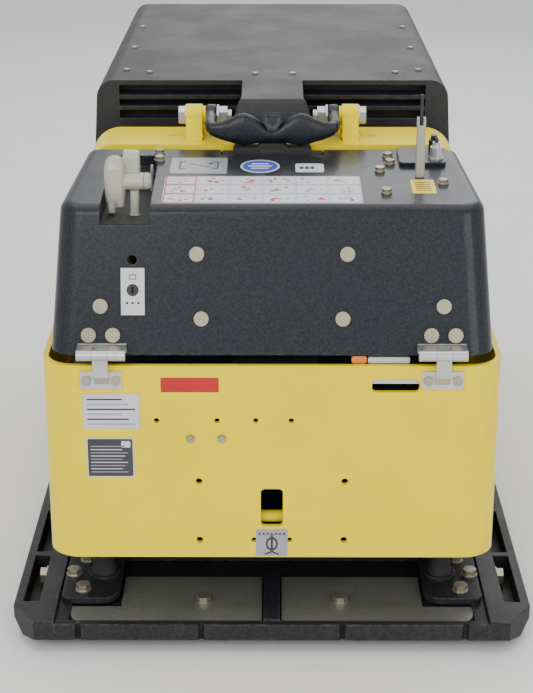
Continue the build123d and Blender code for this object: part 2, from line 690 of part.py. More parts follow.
def lever_recess(extra):
    """Stepped recess for the latch lever. extra: wall added on each side."""
    x0, x1 = LEVER_RECESS_X
    low = block(x0 - extra, x1 + extra, -700, LEVER_RECESS_BACK + extra, LEVER_RECESS_Z - extra, 900)
    near, far = [LEVER_RECESS_BACK + run for run in LEVER_STEP]
    step = block(x0 - extra, x1 + extra, near, far + extra, LEVER_STEP_Z - extra, 900)
    return low + step


def hood_face_place(x, z):
    """A seat on the hood's leaning front face."""
    lean = math.degrees(math.atan(HOOD_LEAN))
    return Pos(x, hood_face_y(z), z) * Rot(90 - lean, 0, 0)


def hood_top_place(x, y):
    """A seat on the hood's sloping top."""
    rise = math.degrees(math.atan(HOOD_TOP_RISE))
    return Pos(x, y, hood_top_z(y)) * Rot(rise, 0, 0)


def front_hood():
    """Front hood shell, open below and behind, with recess, notch and holes."""
    outer = hood_block(0.0, 0.0, 0.0) - lever_recess(0.0)
    inner = hood_block(HOOD_WALL, 20.0, 20.0) - lever_recess(HOOD_WALL)
    shell = outer - inner
    half, edge = BAIL_NOTCH
    shell = shell - block(-half, half, edge, 0, HOOD_BOTTOM, 900)
    for x, z in HOOD_FACE_BOLTS:
        shell = shell - bolt_hole(hood_face_place(x, z), HOOD_BOLT_R, 14.0)
    for x, y in HOOD_TOP_BOLTS:
        shell = shell - bolt_hole(hood_top_place(x, y), HOOD_BOLT_R, 14.0)
    shell = shell - bolt_hole(hood_top_place(*ANTENNA), ANTENNA_R - 1.0, 20.0)
    shell = shell - bolt_hole(hood_face_place(SWITCH_X, SWITCH_Z), SWITCH_R, 14.0)
    shell = shell - bolt_hole(hood_face_place(LAMP_HOLE[0], LAMP_HOLE[1]), LAMP_HOLE[2], 14.0)
    shell = shell + switch_socket()
    return shell.solids().sort_by(SortBy.VOLUME)[-1]


def switch_plate():
    """Thin pale plate round the key switch."""
    low, high, width, thick = SWITCH_PLATE
    place = hood_face_place(SWITCH_X, (low + high) / 2)
    plate = place * Pos(0, 0, thick / 2) * Box(width, high - low, thick)
    return plate - bolt_hole(hood_face_place(SWITCH_X, SWITCH_Z), SWITCH_R, 14.0)


def key_switch():
    """Round key barrel with a key slot; it turns in the hood."""
    place = hood_face_place(SWITCH_X, SWITCH_Z)
    radius = SWITCH_R - RUN_GAP
    barrel = place * Pos(0, 0, -14) * Cylinder(radius, 34)
    slot = place * Pos(0, 0, 3) * Box(2.4, 9.0, 12.0)
    return barrel - slot


def switch_socket():
    """Ring behind the hood's face that the key barrel turns in."""
    place = hood_face_place(SWITCH_X, SWITCH_Z) * Pos(0, 0, -HOOD_WALL - 9)
    return place * Cylinder(SWITCH_R + 5, 20) - place * Cylinder(SWITCH_R, 44)


def hinge_upper_leaf():
    """Right-hand upper hinge leaf: two knuckles and a flange on the hood's face."""
    x0, x1 = HINGE_X
    flange_top = HINGE_Z + HINGE_FLANGE
    face = [(hood_face_y(z), z) for z in (HINGE_Z - 4, flange_top)]
    flange = prism_x([face[0], face[1], (face[1][0] - HINGE_LEAF, face[1][1]),
                      (face[0][0] - HINGE_LEAF, face[0][1])], x0, x1)
    top = HINGE_Z + HINGE_R
    web = block(x0, x1, HINGE_Y, hood_face_y(HINGE_Z) - HINGE_LEAF / 2, top - HINGE_LEAF, top)
    leaf = flange + web + rod_x(x0, x1, HINGE_Y, HINGE_Z, HINGE_R)
    leaf = leaf - rod_x(x0 - 1, x1 + 1, HINGE_Y, HINGE_Z, HINGE_PIN_R + RUN_GAP)
    stem_gap = block(HINGE_STEM_X[0] - PART_GAP, HINGE_STEM_X[1] + PART_GAP, HINGE_Y - 30, HINGE_Y + 16,
                     HINGE_Z - 30, HINGE_Z + 30)
    return leaf - stem_gap


def hinge_lower_leaf():
    """Right-hand lower hinge leaf: clamp plate on the guard, stem and knuckle."""
    face = GUARD_FACE_Y
    clamp = block(*CLAMP_X, face - HINGE_LEAF, face, *CLAMP_Z)
    s0, s1 = HINGE_STEM_X
    stem = prism_x([(face - HINGE_LEAF, CLAMP_Z[0] + 8), (face - HINGE_LEAF, HINGE_Z - 22),
                    (HINGE_Y + 6, HINGE_Z), (HINGE_Y - 6, HINGE_Z), (face - 12, CLAMP_Z[1] - 6)], s0, s1)
    knuckle = rod_x(s0, s1, HINGE_Y, HINGE_Z, HINGE_R)
    leaf = clamp + stem + knuckle
    leaf = leaf - rod_x(s0 - 1, s1 + 1, HINGE_Y, HINGE_Z, HINGE_PIN_R + FIT_GAP)
    for x in clamp_screw_x():
        leaf = leaf - rod_y(x, face - 20, face + 5, clamp_screw_z(), HINGE_PIN_R + HOLE_GAP)
    return leaf


def clamp_screw_x():
    """X of the two screws through a right-hand clamp plate."""
    return CLAMP_X[0] + 9.0, CLAMP_X[1] - 9.0


def clamp_screw_z():
    """Height of the screws through a clamp plate."""
    return (CLAMP_Z[0] + CLAMP_Z[1]) / 2


# ================================================================ latch lever
def lever_ear():
    """Lug that stands in the recess and carries the lever's pivot pin."""
    x0, x1 = LEVER_EAR_X
    lug = block(x0, x1, LEVER_Y - LEVER_HUB_R, LEVER_Y + LEVER_HUB_R, LEVER_RECESS_Z, LEVER_Z)
    lug = lug + rod_x(x0, x1, LEVER_Y, LEVER_Z, LEVER_HUB_R)
    pin = rod_x(LEVER_BODY_X[0] + 10, x0 + 1, LEVER_Y, LEVER_Z, LEVER_PIN_R)
    return lug + pin


def latch_lever():
    """Cast lever: hub, rounded grip, thumb tab and two prongs."""
    hub = rod_x(*LEVER_HUB_X, LEVER_Y, LEVER_Z, LEVER_HUB_R)
    b0, b1 = LEVER_BODY_X
    grip = block(b0, b1, LEVER_Y - 16, LEVER_Y + 20, LEVER_Z - 30, LEVER_Z + 35)
    grip = fillet(grip.edges().filter_by(Axis.X), 12.0)
    grip = fillet(grip.edges().filter_by(lambda edge: abs(edge.center().X - b0) < 0.1), 6.0)
    tab = block(b1, b1 + 21, LEVER_Y + 2, LEVER_Y + 34, LEVER_Z + 8, LEVER_Z + 42)
    tab = fillet(tab.edges().filter_by(Axis.X), 7.0)
    gap = 1.5
    middle = (b0 + b1) / 2
    prongs = []
    for x0, x1 in ((middle - 11, middle - gap), (middle + gap, middle + 11)):
        prong = block(x0, x1, LEVER_Y - 10, LEVER_Y + 8, LEVER_Z - 46, LEVER_Z - 24)
        prongs.append(fillet(prong.edges().filter_by(Axis.X).group_by(Axis.Z)[0], 6.0))
    lever = hub + grip + tab + prongs[0] + prongs[1]
    return lever - rod_x(b0 + 9, b1 + 60, LEVER_Y, LEVER_Z, LEVER_PIN_R + RUN_GAP)


# ================================================================ antenna
def antenna_sleeve():
    """Pale sleeve with a foot on the hood and a stud through it."""
    x, y = ANTENNA
    foot_z = hood_top_z(y)
    sleeve = rod_z(x, y, foot_z + 4, ANTENNA_SLEEVE_TOP, ANTENNA_R)
    foot = hood_top_place(x, y) * Pos(0, 0, 3) * Cylinder(ANTENNA_R + ANTENNA_FOOT, 6)
    stud = hood_top_place(x, y) * Pos(0, 0, -8) * Cylinder(ANTENNA_R - 1, 18)
    crown = rod_z(x, y, ANTENNA_SLEEVE_TOP - 12, ANTENNA_SLEEVE_TOP, ANTENNA_R + 1.3)
    bore = rod_z(x, y, ANTENNA_SLEEVE_TOP - 40, ANTENNA_SLEEVE_TOP + 1, WHIP_R + FIT_GAP)
    return sleeve + foot + stud + crown - bore


def antenna_bracket():
    """Raised cover plate beside the antenna, with a cable fitting on it."""
    x0, x1, y0, y1 = ANTENNA_BRACKET
    middle = ((x0 + x1) / 2, (y0 + y1) / 2)
    place = hood_top_place(*middle)
    plate = place * Pos(0, 0, 3) * Box(x1 - x0, y1 - y0, 6)
    plate = fillet(plate.edges().filter_by(lambda edge: abs(edge.length - 6) < 0.01), 8.0)
    post = place * Pos((x1 - x0) / 2 - 14, (y1 - y0) / 2 - 16, 14) * Cylinder(8, 18)
    cap = place * Pos((x1 - x0) / 2 - 14, (y1 - y0) / 2 - 16, 26) * Cylinder(5, 8)
    return plate + post + cap


def radio_receiver():
    """Receiver box hung under the hood's top, below the antenna."""
    x, y = ANTENNA
    place = hood_top_place(x - 8, y - 8) * Pos(0, 0, -HOOD_WALL - 22)
    box = place * Box(64, 96, 44)
    return box - bolt_hole(hood_top_place(x, y), ANTENNA_R - 1, 24.0)


# ================================================================ lifting arch and bail
def lifting_arch():
    """Bent yellow arch on the deck, with two ears for the bail."""
    h, t, r = ARCH_HALF, ARCH_WALL, ARCH_SHOULDER
    y0, y1 = ARCH_Y
    outer = block(-h, h, y0, y1, DECK_TOP, ARCH_TOP)
    outer = fillet(outer.edges().filter_by(Axis.Y).group_by(Axis.Z)[-1], r)
    inner = block(-h + t, h - t, y0 - 1, y1 + 1, DECK_TOP - 1, ARCH_TOP - t)
    inner = fillet(inner.edges().filter_by(Axis.Y).group_by(Axis.Z)[-1], r - t)
    arch = outer - inner
    ear = block(*EAR_X, PIVOT_Y - 38, PIVOT_Y + 38, ARCH_TOP - 2, ARCH_TOP + 6)
    ear = ear + prism_x([(PIVOT_Y - 30, ARCH_TOP), (PIVOT_Y - EAR_R, PIVOT_Z), (PIVOT_Y + EAR_R, PIVOT_Z),
                         (PIVOT_Y + 30, ARCH_TOP)], *EAR_X)
    ear = ear + rod_x(*EAR_X, PIVOT_Y, PIVOT_Z, EAR_R)
    boss = rod_x(BAIL_EYE_X[1] + PART_GAP, EAR_X[0], PIVOT_Y, PIVOT_Z, 14.0)
    ear = ear + boss
    ear = ear - rod_x(60, 160, PIVOT_Y, PIVOT_Z, BAIL_BOLT_R + FIT_GAP)
    slot = rod_z(EAR_X[1] + 22, PIVOT_Y, ARCH_TOP - t - 1, ARCH_TOP + 1, 7.0)
    arch = arch - slot - mirrored_x(slot)
    return arch + ear + mirrored_x(ear)


def bail_pivot_bolt():
    """Right-hand pivot bolt with its head outside and its nut inside."""
    head = hex_bolt(Pos(EAR_X[1], PIVOT_Y, PIVOT_Z) * Rot(0, 90, 0), NUT_AF, 10.0, BAIL_BOLT_R, 70.0)
    nut_place = Pos(BAIL_EYE_X[0] - PART_GAP, PIVOT_Y, PIVOT_Z) * Rot(0, -90, 0)
    nut = extrude(nut_place * Pos(0, 0, 3) * RegularPolygon(NUT_AF / math.sqrt(3), 6), amount=NUT_H)
    washer = nut_place * Pos(0, 0, 1.5) * Cylinder(16.0, 3.0)
    return head + nut + washer


def lifting_bail():
    """Butterfly-shaped lifting bail: bar with two lobes, side rods and two eyes."""
    y0, y1 = BAIL_BAR_Y
    w0, w1 = BAIL_WAIST_Z
    l0, l1 = BAIL_LOBE_Z
    r0, r1 = BAIL_ROD_Z
    lobe = BAIL_LOBE_X
    tip, t0, t1 = BAIL_TIP
    near = lobe * 0.45
    far = (lobe + tip) / 2
    upper = Spline((0, w1), (near, (w1 + l1) / 2), (lobe, l1), (far, (l1 + t1) / 2), (tip, t1))
    lower = Spline((tip, t0), (far, (l0 + t0) / 2), (lobe, l0), (near, (w0 + l0) / 2), (0, w0))
    outline = Wire([*upper.edges(), *Line((tip, t1), (tip, t0)).edges(), *lower.edges(),
                    *Line((0, w0), (0, w1)).edges()])
    face = Plane(origin=(0, y1, 0), x_dir=(1, 0, 0), z_dir=(0, -1, 0)) * make_face(outline)
    wing = extrude(face, amount=y1 - y0)
    thin_x, thin_y = BAIL_THIN
    wing = wing - block(thin_x, tip + 1, y0 - 1, thin_y, l0 - 1, l1 + 1)
    rod_r = (r1 - r0) / 2
    rod_y0 = y1 - rod_r - 1.5
    rod_z0 = (r0 + r1) / 2
    rod = rod_x(lobe, BAIL_EYE_X[1], rod_y0, rod_z0, rod_r)
    arm = block(*BAIL_EYE_X, rod_y0, PIVOT_Y, r0, r1)
    eye = rod_x(*BAIL_EYE_X, PIVOT_Y, PIVOT_Z, EAR_R)
    half = wing + rod + arm + eye
    half = half - rod_x(BAIL_EYE_X[0] - 1, BAIL_EYE_X[1] + 1, PIVOT_Y, PIVOT_Z, BAIL_BOLT_R + RUN_GAP)
    return half + mirrored_x(half)


def bail_rest():
    """Rubber block that the folded bail rests on."""
    y0 = BAIL_BAR_Y[0] - 3.0
    body = block(-58, 58, y0, ARCH_Y[0], BAIL_LOBE_Z[0] - PART_GAP - 38, BAIL_LOBE_Z[0] - PART_GAP)
    return body


# ================================================================ rear hood
def rear_top_z(y):
    """Height of the rear hood's top at a distance along it."""
    slope = (REAR_TOP_BACK - REAR_TOP_FRONT) / (REAR_TOP_BACK_Y - REAR_FRONT_Y)
    return REAR_TOP_FRONT + slope * (y - REAR_FRONT_Y)


def rear_top_place(x, y):
    """A seat on the rear hood's top."""
    slope = (REAR_TOP_BACK - REAR_TOP_FRONT) / (REAR_TOP_BACK_Y - REAR_FRONT_Y)
    return Pos(x, y, rear_top_z(y)) * Rot(math.degrees(math.atan(slope)), 0, 0)


def rear_half(y, z):
    """Half width of the rear hood's outside at a point on its side."""
    return REAR_HALF - REAR_TAPER_Y * (y - REAR_FRONT_Y) - REAR_TAPER_Z * (z - REAR_BOTTOM)


def rear_block(inset, drop):
    """Outside block of the rear hood. inset: wall thickness taken off. drop: extra length down."""
    y0 = REAR_FRONT_Y + inset
    y1 = REAR_BACK_Y - inset
    y2 = REAR_TOP_BACK_Y - inset / 2
    z0 = REAR_BOTTOM - drop
    z1 = REAR_TOP_BACK + inset + 1.0
    wires = []
    for z in (z0, z1):
        a = rear_half(y0, z) - inset
        b = rear_half(y1, z) - inset
        wires.append(make_face(Polyline((-a, y0, z), (a, y0, z), (b, y1, z), (-b, y1, z), close=True)))
    profile = [(y0, z0), (y1, z0), (y1, REAR_BACK_Z - inset), (y2, rear_top_z(y2) - inset),
               (y0, rear_top_z(y0) - inset)]
    body = loft(wires, ruled=True) & prism_x(profile, -REAR_HALF - 1, REAR_HALF + 1)
    ridge = [edge for edge in body.edges() if abs(edge.center().X) > REAR_HALF / 2
             and edge.center().Z > REAR_TOP_FRONT - inset - 1 and edge.length > REAR_HALF]
    return fillet(ridge, REAR_EDGE - inset)


def spine_block(inset):
    """Centre tongue that runs forward over the lifting arch."""
    front = SPINE_FRONT_Y + inset
    half = SPINE_HALF - inset
    nose = front + SPINE_NOSE
    root = REAR_FRONT_Y + SPINE_ROOT
    below = SPINE_NOSE_Z - SPINE_DEPTH - inset
    profile = [(front, below), (front, SPINE_NOSE_Z - inset / 2), (nose, rear_top_z(nose) - inset),
               (root, rear_top_z(root) - inset), (root, below)]
    return prism_x(profile, -half, half)


def rear_hood():
    """Rear hood shell over the engine, with louvre windows and the centre tongue."""
    shell = rear_block(0.0, 0.0) + spine_block(0.0)
    shell = shell - rear_block(REAR_WALL, 20.0) - spine_block(REAR_WALL)
    window = block(*LOUVRE_X, REAR_FRONT_Y - 5, REAR_FRONT_Y + REAR_WALL + 5, *LOUVRE_Z)
    shell = shell - window - mirrored_x(window)
    left, right, lowest, pitch, height = VENT
    for index in range(VENTS):
        z = lowest + pitch * index
        vent = block(left, right, REAR_BACK_Y - 20, REAR_BACK_Y + 5, z, z + height)
        shell = shell - vent - mirrored_x(vent)
    for x, y in RIVETS:
        shell = shell - bolt_hole(rear_top_place(x, y), RIVET_R - 1.5, 14.0)
    return shell


def louvre_slats():
    """Horizontal slats in the two louvre windows."""
    slats = []
    y0 = REAR_FRONT_Y
    third = (LOUVRE_Z[1] - LOUVRE_Z[0]) / 3
    for z in (LOUVRE_Z[0] + third - 5.0, LOUVRE_Z[0] + 2 * third - 5.0):
        slat = prism_x([(y0, z), (y0 + 3, z), (y0 + 3, z + 2), (y0 + 18, z + 8), (y0 + 18, z + 11),
                        (y0, z + 7)],
                       *LOUVRE_X)
        slats.extend([slat, mirrored_x(slat)])
    return slats


# ================================================================ exciter
SHAFT_Y = SHAFT_SPREAD / 2
GEAR_PITCH_R = SHAFT_SPREAD / 2


def exciter_housing():
    """Cast housing of the exciter, open on top under its lid."""
    x, y, w = EXCITER_HALF_X, EXCITER_HALF_Y, EXCITER_WALL
    body = block(-x, x, -y, y, BASE_FLOOR, EXCITER_TOP)
    body = body - block(-x + w, x - w, -y + w, y - w, BASE_FLOOR + w, EXCITER_TOP + 1)
    reach, thick = EXCITER_FLANGE
    flange = block(-x, x, -y - reach, y + reach, BASE_FLOOR, BASE_FLOOR + thick)
    body = body + (flange - block(-x + w, x - w, -y + w, y - w, 0, EXCITER_TOP))
    for shaft_y in (-SHAFT_Y, SHAFT_Y):
        body = body - rod_x(-x - 1, x + 1, shaft_y, SHAFT_Z, BEARING_R)
    return body


def exciter_lid():
    """Flat lid of the exciter housing."""
    x, y = EXCITER_HALF_X, EXCITER_HALF_Y
    return block(-x, x, -y, y, EXCITER_TOP, EXCITER_TOP + EXCITER_LID)


def bearing(x0, x1, y):
    """Roller bearing of an eccentric shaft, as one ring."""
    ring = rod_x(x0, x1, y, SHAFT_Z, BEARING_R - FIT_GAP)
    return ring - rod_x(x0 - 1, x1 + 1, y, SHAFT_Z, SHAFT_R + RUN_GAP)


def end_cover(side, y):
    """Round cover over one bearing. side: +1 right, -1 left."""
    inner = EXCITER_HALF_X
    x0, x1 = sorted((side * inner, side * (inner + COVER_THICK)))
    cover = rod_x(x0, x1, y, SHAFT_Z, COVER_R)
    return cover - rod_x(x0 - 1, x1 + 1, y, SHAFT_Z, SHAFT_R + 1.0)


def gear_face(phase):
    """Toothed outline of a timing gear in the YZ plane. phase: turn of the first tooth in degrees."""
    module = 2 * GEAR_PITCH_R / GEAR_TEETH
    tip = GEAR_PITCH_R + 0.9 * module
    root = GEAR_PITCH_R - 1.15 * module
    pitch = 360.0 / GEAR_TEETH
    points = []
    for index in range(GEAR_TEETH):
        centre = phase + index * pitch
        for offset, radius in ((-0.33, root), (-0.13, tip), (0.13, tip), (0.33, root)):
            angle = math.radians(centre + offset * pitch)
            points.append((radius * math.cos(angle), radius * math.sin(angle)))
    return points


def eccentric_shaft(y, phase, end_x):
    """Eccentric shaft with a hanging half-round weight and its timing gear."""
    inner = EXCITER_HALF_X
    shaft = rod_x(-inner - COVER_THICK, end_x, y, SHAFT_Z, SHAFT_R)
    x0, x1 = WEIGHT_X
    reach = ECCENTRIC_R + 1
    weight = rod_x(x0, x1, y, SHAFT_Z, ECCENTRIC_R)
    weight = weight - block(x0 - 1, x1 + 1, y - reach, y + reach, SHAFT_Z + 4, SHAFT_Z + reach)
    teeth = [(y + a, SHAFT_Z + b) for a, b in gear_face(phase)]
    gear = prism_x(teeth, *GEAR_X)
    return shaft + weight + gear


def grooved_pulley(y, z, bore_r):
    """V-belt pulley on the drive side."""
    x0, x1 = PULLEY_X
    middle = (x0 + x1) / 2
    rim = PULLEY_R + BELT_THICK / 2 + 2.0
    wheel = rod_x(x0, x1, y, z, rim)
    groove = rod_x(middle - BELT_WIDTH / 2 - 1, middle + BELT_WIDTH / 2 + 1, y, z, rim + 1)
    groove = groove - rod_x(middle - BELT_WIDTH, middle + BELT_WIDTH, y, z, PULLEY_R - BELT_THICK / 2 - 0.5)
    return wheel - groove - rod_x(x0 - 1, x1 + 1, y, z, bore_r)


def drive_belt():
    """V-belt round the two equal pulleys."""
    middle = (PULLEY_X[0] + PULLEY_X[1]) / 2
    ends = ((SHAFT_Y, SHAFT_Z), (CRANK_Y, CRANK_Z))
    run = math.hypot(ends[1][0] - ends[0][0], ends[1][1] - ends[0][1])
    along = (0, (ends[1][0] - ends[0][0]) / run, (ends[1][1] - ends[0][1]) / run)
    centre_y = (ends[0][0] + ends[1][0]) / 2
    centre_z = (ends[0][1] + ends[1][1]) / 2

    def loop(radius, width):
        plane = Plane(origin=(middle - width / 2, centre_y, centre_z), x_dir=along, z_dir=(1, 0, 0))
        return extrude(plane * SlotCenterToCenter(run, 2 * radius), amount=width)

    outer = loop(PULLEY_R + BELT_THICK / 2, BELT_WIDTH)
    inner = loop(PULLEY_R - BELT_THICK / 2, BELT_WIDTH + 4)
    return outer - inner


# ================================================================ engine
def engine_block():
    """Crankcase and cylinder casting, open below."""
    x0, x1 = ENGINE_X
    z0, z1 = ENGINE_Z
    w = ENGINE_WALL
    y0, y1 = CRANK_Y - ENGINE_HALF_Y, CRANK_Y + ENGINE_HALF_Y
    body = block(x0, x1, y0, y1, z0, z1)
    body = body - block(x0 + w, x1 - w, y0 + w, y1 - w, z0 + w, z1 - 60)
    for index in range(ENGINE_FINS):
        z = z1 - 14 - index * 12
        for a, b in ((y0 - 1, y0 + 8), (y1 - 8, y1 + 1)):
            body = body - block(x0 - 1, x1 + 1, a, b, z, z + 6)
    return body - rod_x(x0 - 1, x1 + 1, CRANK_Y, CRANK_Z, CRANK_R + RUN_GAP)


def cylinder_head():
    """Cylinder head with its rocker cover."""
    x0, x1 = ENGINE_X
    z = ENGINE_Z[1]
    y0, y1 = CRANK_Y - ENGINE_HALF_Y, CRANK_Y + ENGINE_HALF_Y
    head = block(x0 + 20, x1 - 20, y0 + 15, y1 - 15, z, z + 55)
    cover = block(x0 + 40, x1 - 40, y0 + 45, y1 - 45, z + 55, z + 105)
    return head + fillet(cover.edges().group_by(Axis.Z)[-1], 14.0)


def engine_mounts():
    """Four feet between the deck and the engine block."""
    x0, x1 = ENGINE_X
    feet = []
    for x in (x0 + 40, x1 - 40):
        for y in (CRANK_Y - ENGINE_HALF_Y + 30, CRANK_Y + ENGINE_HALF_Y - 30):
            feet.append(rod_z(x, y, DECK_TOP, ENGINE_Z[0], MOUNT_R))
    return feet


def crankshaft():
    """Crankshaft through the engine block, out to the flywheel and pulley."""
    return rod_x(ENGINE_X[0] - 12, PULLEY_X[1] + 4, CRANK_Y, CRANK_Z, CRANK_R)


def flywheel():
    """Flywheel between the engine and the belt pulley."""
    wheel = rod_x(*FLYWHEEL_X, CRANK_Y, CRANK_Z, FLYWHEEL_R)
    wheel = wheel - rod_x(FLYWHEEL_X[0] - 1, FLYWHEEL_X[1] + 1, CRANK_Y, CRANK_Z, CRANK_R + FIT_GAP)
    for x in (FLYWHEEL_X[0] - 1, FLYWHEEL_X[1] - 9):
        ring = rod_x(x, x + 10, CRANK_Y, CRANK_Z, FLYWHEEL_R - 22) - rod_x(x, x + 10, CRANK_Y, CRANK_Z, 42)
        wheel = wheel - ring
    return wheel


def muffler():
    """Silencer behind the engine, with its inlet pipe and bracket."""
    y = CRANK_Y + ENGINE_HALF_Y + 38
    z = ENGINE_Z[1] - 40
    drum = rod_x(*MUFFLER_X, y, z, MUFFLER_R)
    pipe = rod_y(-20, CRANK_Y + ENGINE_HALF_Y, y, z, 14.0)
    bracket = block(60, 80, CRANK_Y + ENGINE_HALF_Y, y, z - 6, z + 6)
    return drum + pipe + bracket


# ================================================================ cooling
def radiator():
    """Radiator core between its two end tanks."""
    y0, y1 = RADIATOR_Y
    core = block(-RADIATOR_HALF, RADIATOR_HALF, y0 + RADIATOR_SKIN, y1 - RADIATOR_SKIN, *RADIATOR_Z)
    tank = block(RADIATOR_HALF - RADIATOR_TANK, RADIATOR_HALF, y0, y1, *RADIATOR_Z)
    return core + tank + mirrored_x(tank)


def radiator_frame():
    """Posts on the deck, crossbars and the ring round the fan, with its motor arms."""
    y0, y1 = RADIATOR_Y
    z0, z1 = RADIATOR_Z
    x0 = DECK_OPENING_X + 2
    x1 = x0 + 12
    post = block(x0, x1, y0, y1, DECK_TOP, z1)
    side = block(RADIATOR_HALF, x0, y0 + 8, y1 - 8, z1 - 60, z1)
    side = side + block(RADIATOR_HALF, x0, y0 + 8, y1 - 8, z0, z0 + 60)
    ring_y = y1 - RADIATOR_SKIN
    ring_end = ring_y + RING_DEPTH
    plate_half = RADIATOR_HALF - RADIATOR_TANK
    inner_r = FAN_R + 6
    plate = block(-plate_half, plate_half, ring_y, ring_y + 4, z0, z1)
    plate = plate - rod_y(0, ring_y - 1, ring_y + 5, FAN_Z, inner_r)
    collar = rod_y(0, ring_y + 4, ring_end, FAN_Z, inner_r + 4)
    collar = collar - rod_y(0, ring_y, ring_end + 1, FAN_Z, inner_r)
    arms = block(-inner_r - 2, inner_r + 2, ring_end - 8, ring_end, FAN_Z - 12, FAN_Z + 12)
    hub_hole = rod_y(0, ring_y, ring_end + 10, FAN_Z, FAN_NOSE_R)
    return [post + side, mirrored_x(post + side), plate + collar + arms - hub_hole]


def fan_motor():
    """Motor that carries the fan on its bearing nose."""
    y = RADIATOR_Y[1] - RADIATOR_SKIN + RING_DEPTH
    case = rod_y(0, y, y + 70, FAN_Z, 44.0)
    nose = rod_y(0, y - 8, y, FAN_Z, FAN_NOSE_R - FIT_GAP)
    return case + nose - rod_y(0, y - 9, y + 40, FAN_Z, FAN_SHAFT_R + RUN_GAP)


def cooling_fan():
    """Axial fan with its hub and shaft."""
    front = RADIATOR_Y[1] + 4
    hub_end = front + 26
    fan = rod_y(0, front, hub_end, FAN_Z, FAN_HUB_R)
    fan = fan + rod_y(0, hub_end, RADIATOR_Y[1] + 80, FAN_Z, FAN_SHAFT_R)
    root = FAN_HUB_R - 8
    for index in range(FAN_BLADES):
        turn = Pos(0, 0, FAN_Z) * Rot(0, 360.0 * index / FAN_BLADES, 0)
        fan = fan + turn * Pos((FAN_R + root) / 2, front + 13, 0) * Rot(30, 0, 0) * Box(FAN_R - root, 3, 44)
    return fan


# ================================================================ supplies
def fuel_tank():
    """Fuel tank with a filler neck."""
    x0, x1, y0, y1, _, z1 = TANK
    x, y = (x0 + x1) / 2, (y0 + y1) / 2
    outer_r, bore_r, height = NECK
    tank = fillet(block(*TANK).edges(), 14.0) + rod_z(x, y, z1 - 1, z1 + height, outer_r)
    return tank - rod_z(x, y, z1 - 20, z1 + height + 1, bore_r)


def fuel_cap():
    """Cap on the filler neck."""
    x0, x1, y0, y1, _, z1 = TANK
    x, y = (x0 + x1) / 2, (y0 + y1) / 2
    _, bore_r, height = NECK
    top = z1 + height
    cap = rod_z(x, y, top + PART_GAP, top + 12, CAP_R)
    cap = cap + rod_z(x, y, top - 16, top + PART_GAP, bore_r - RUN_GAP)
    for index in range(CAP_GRIPS):
        turn = Pos(x, y, 0) * Rot(0, 0, 360.0 * index / CAP_GRIPS)
        cap = cap - turn * block(CAP_R - 4, CAP_R + 8, -3, 3, top, top + 20)
    return cap


def battery():
    """Starter battery with two posts."""
    x0, x1, y0, y1, z0, z1 = BATTERY
    case = block(x0, x1, y0, y1, z0, z1 - 14) + block(x0 + 6, x1 - 6, y0 + 6, y1 - 6, z1 - 14, z1)
    posts = [rod_z(x, y0 + 30, z1, z1 + 16, 9.0) for x in (x0 + 30, x1 - 30)]
    return case + posts[0] + posts[1]


def control_box():
    """Control unit on a bracket over the battery's rear edge."""
    x0, x1, y1 = BATTERY[0], BATTERY[1], BATTERY[3]
    back = y1 + 26
    bracket = block(x0 + 20, x1 - 20, back - 6, back, DECK_TOP, CONTROL_Z[1])
    case = block(x0 + 20, x1 - 20, back, back + CONTROL_DEPTH, *CONTROL_Z)
    return bracket + case


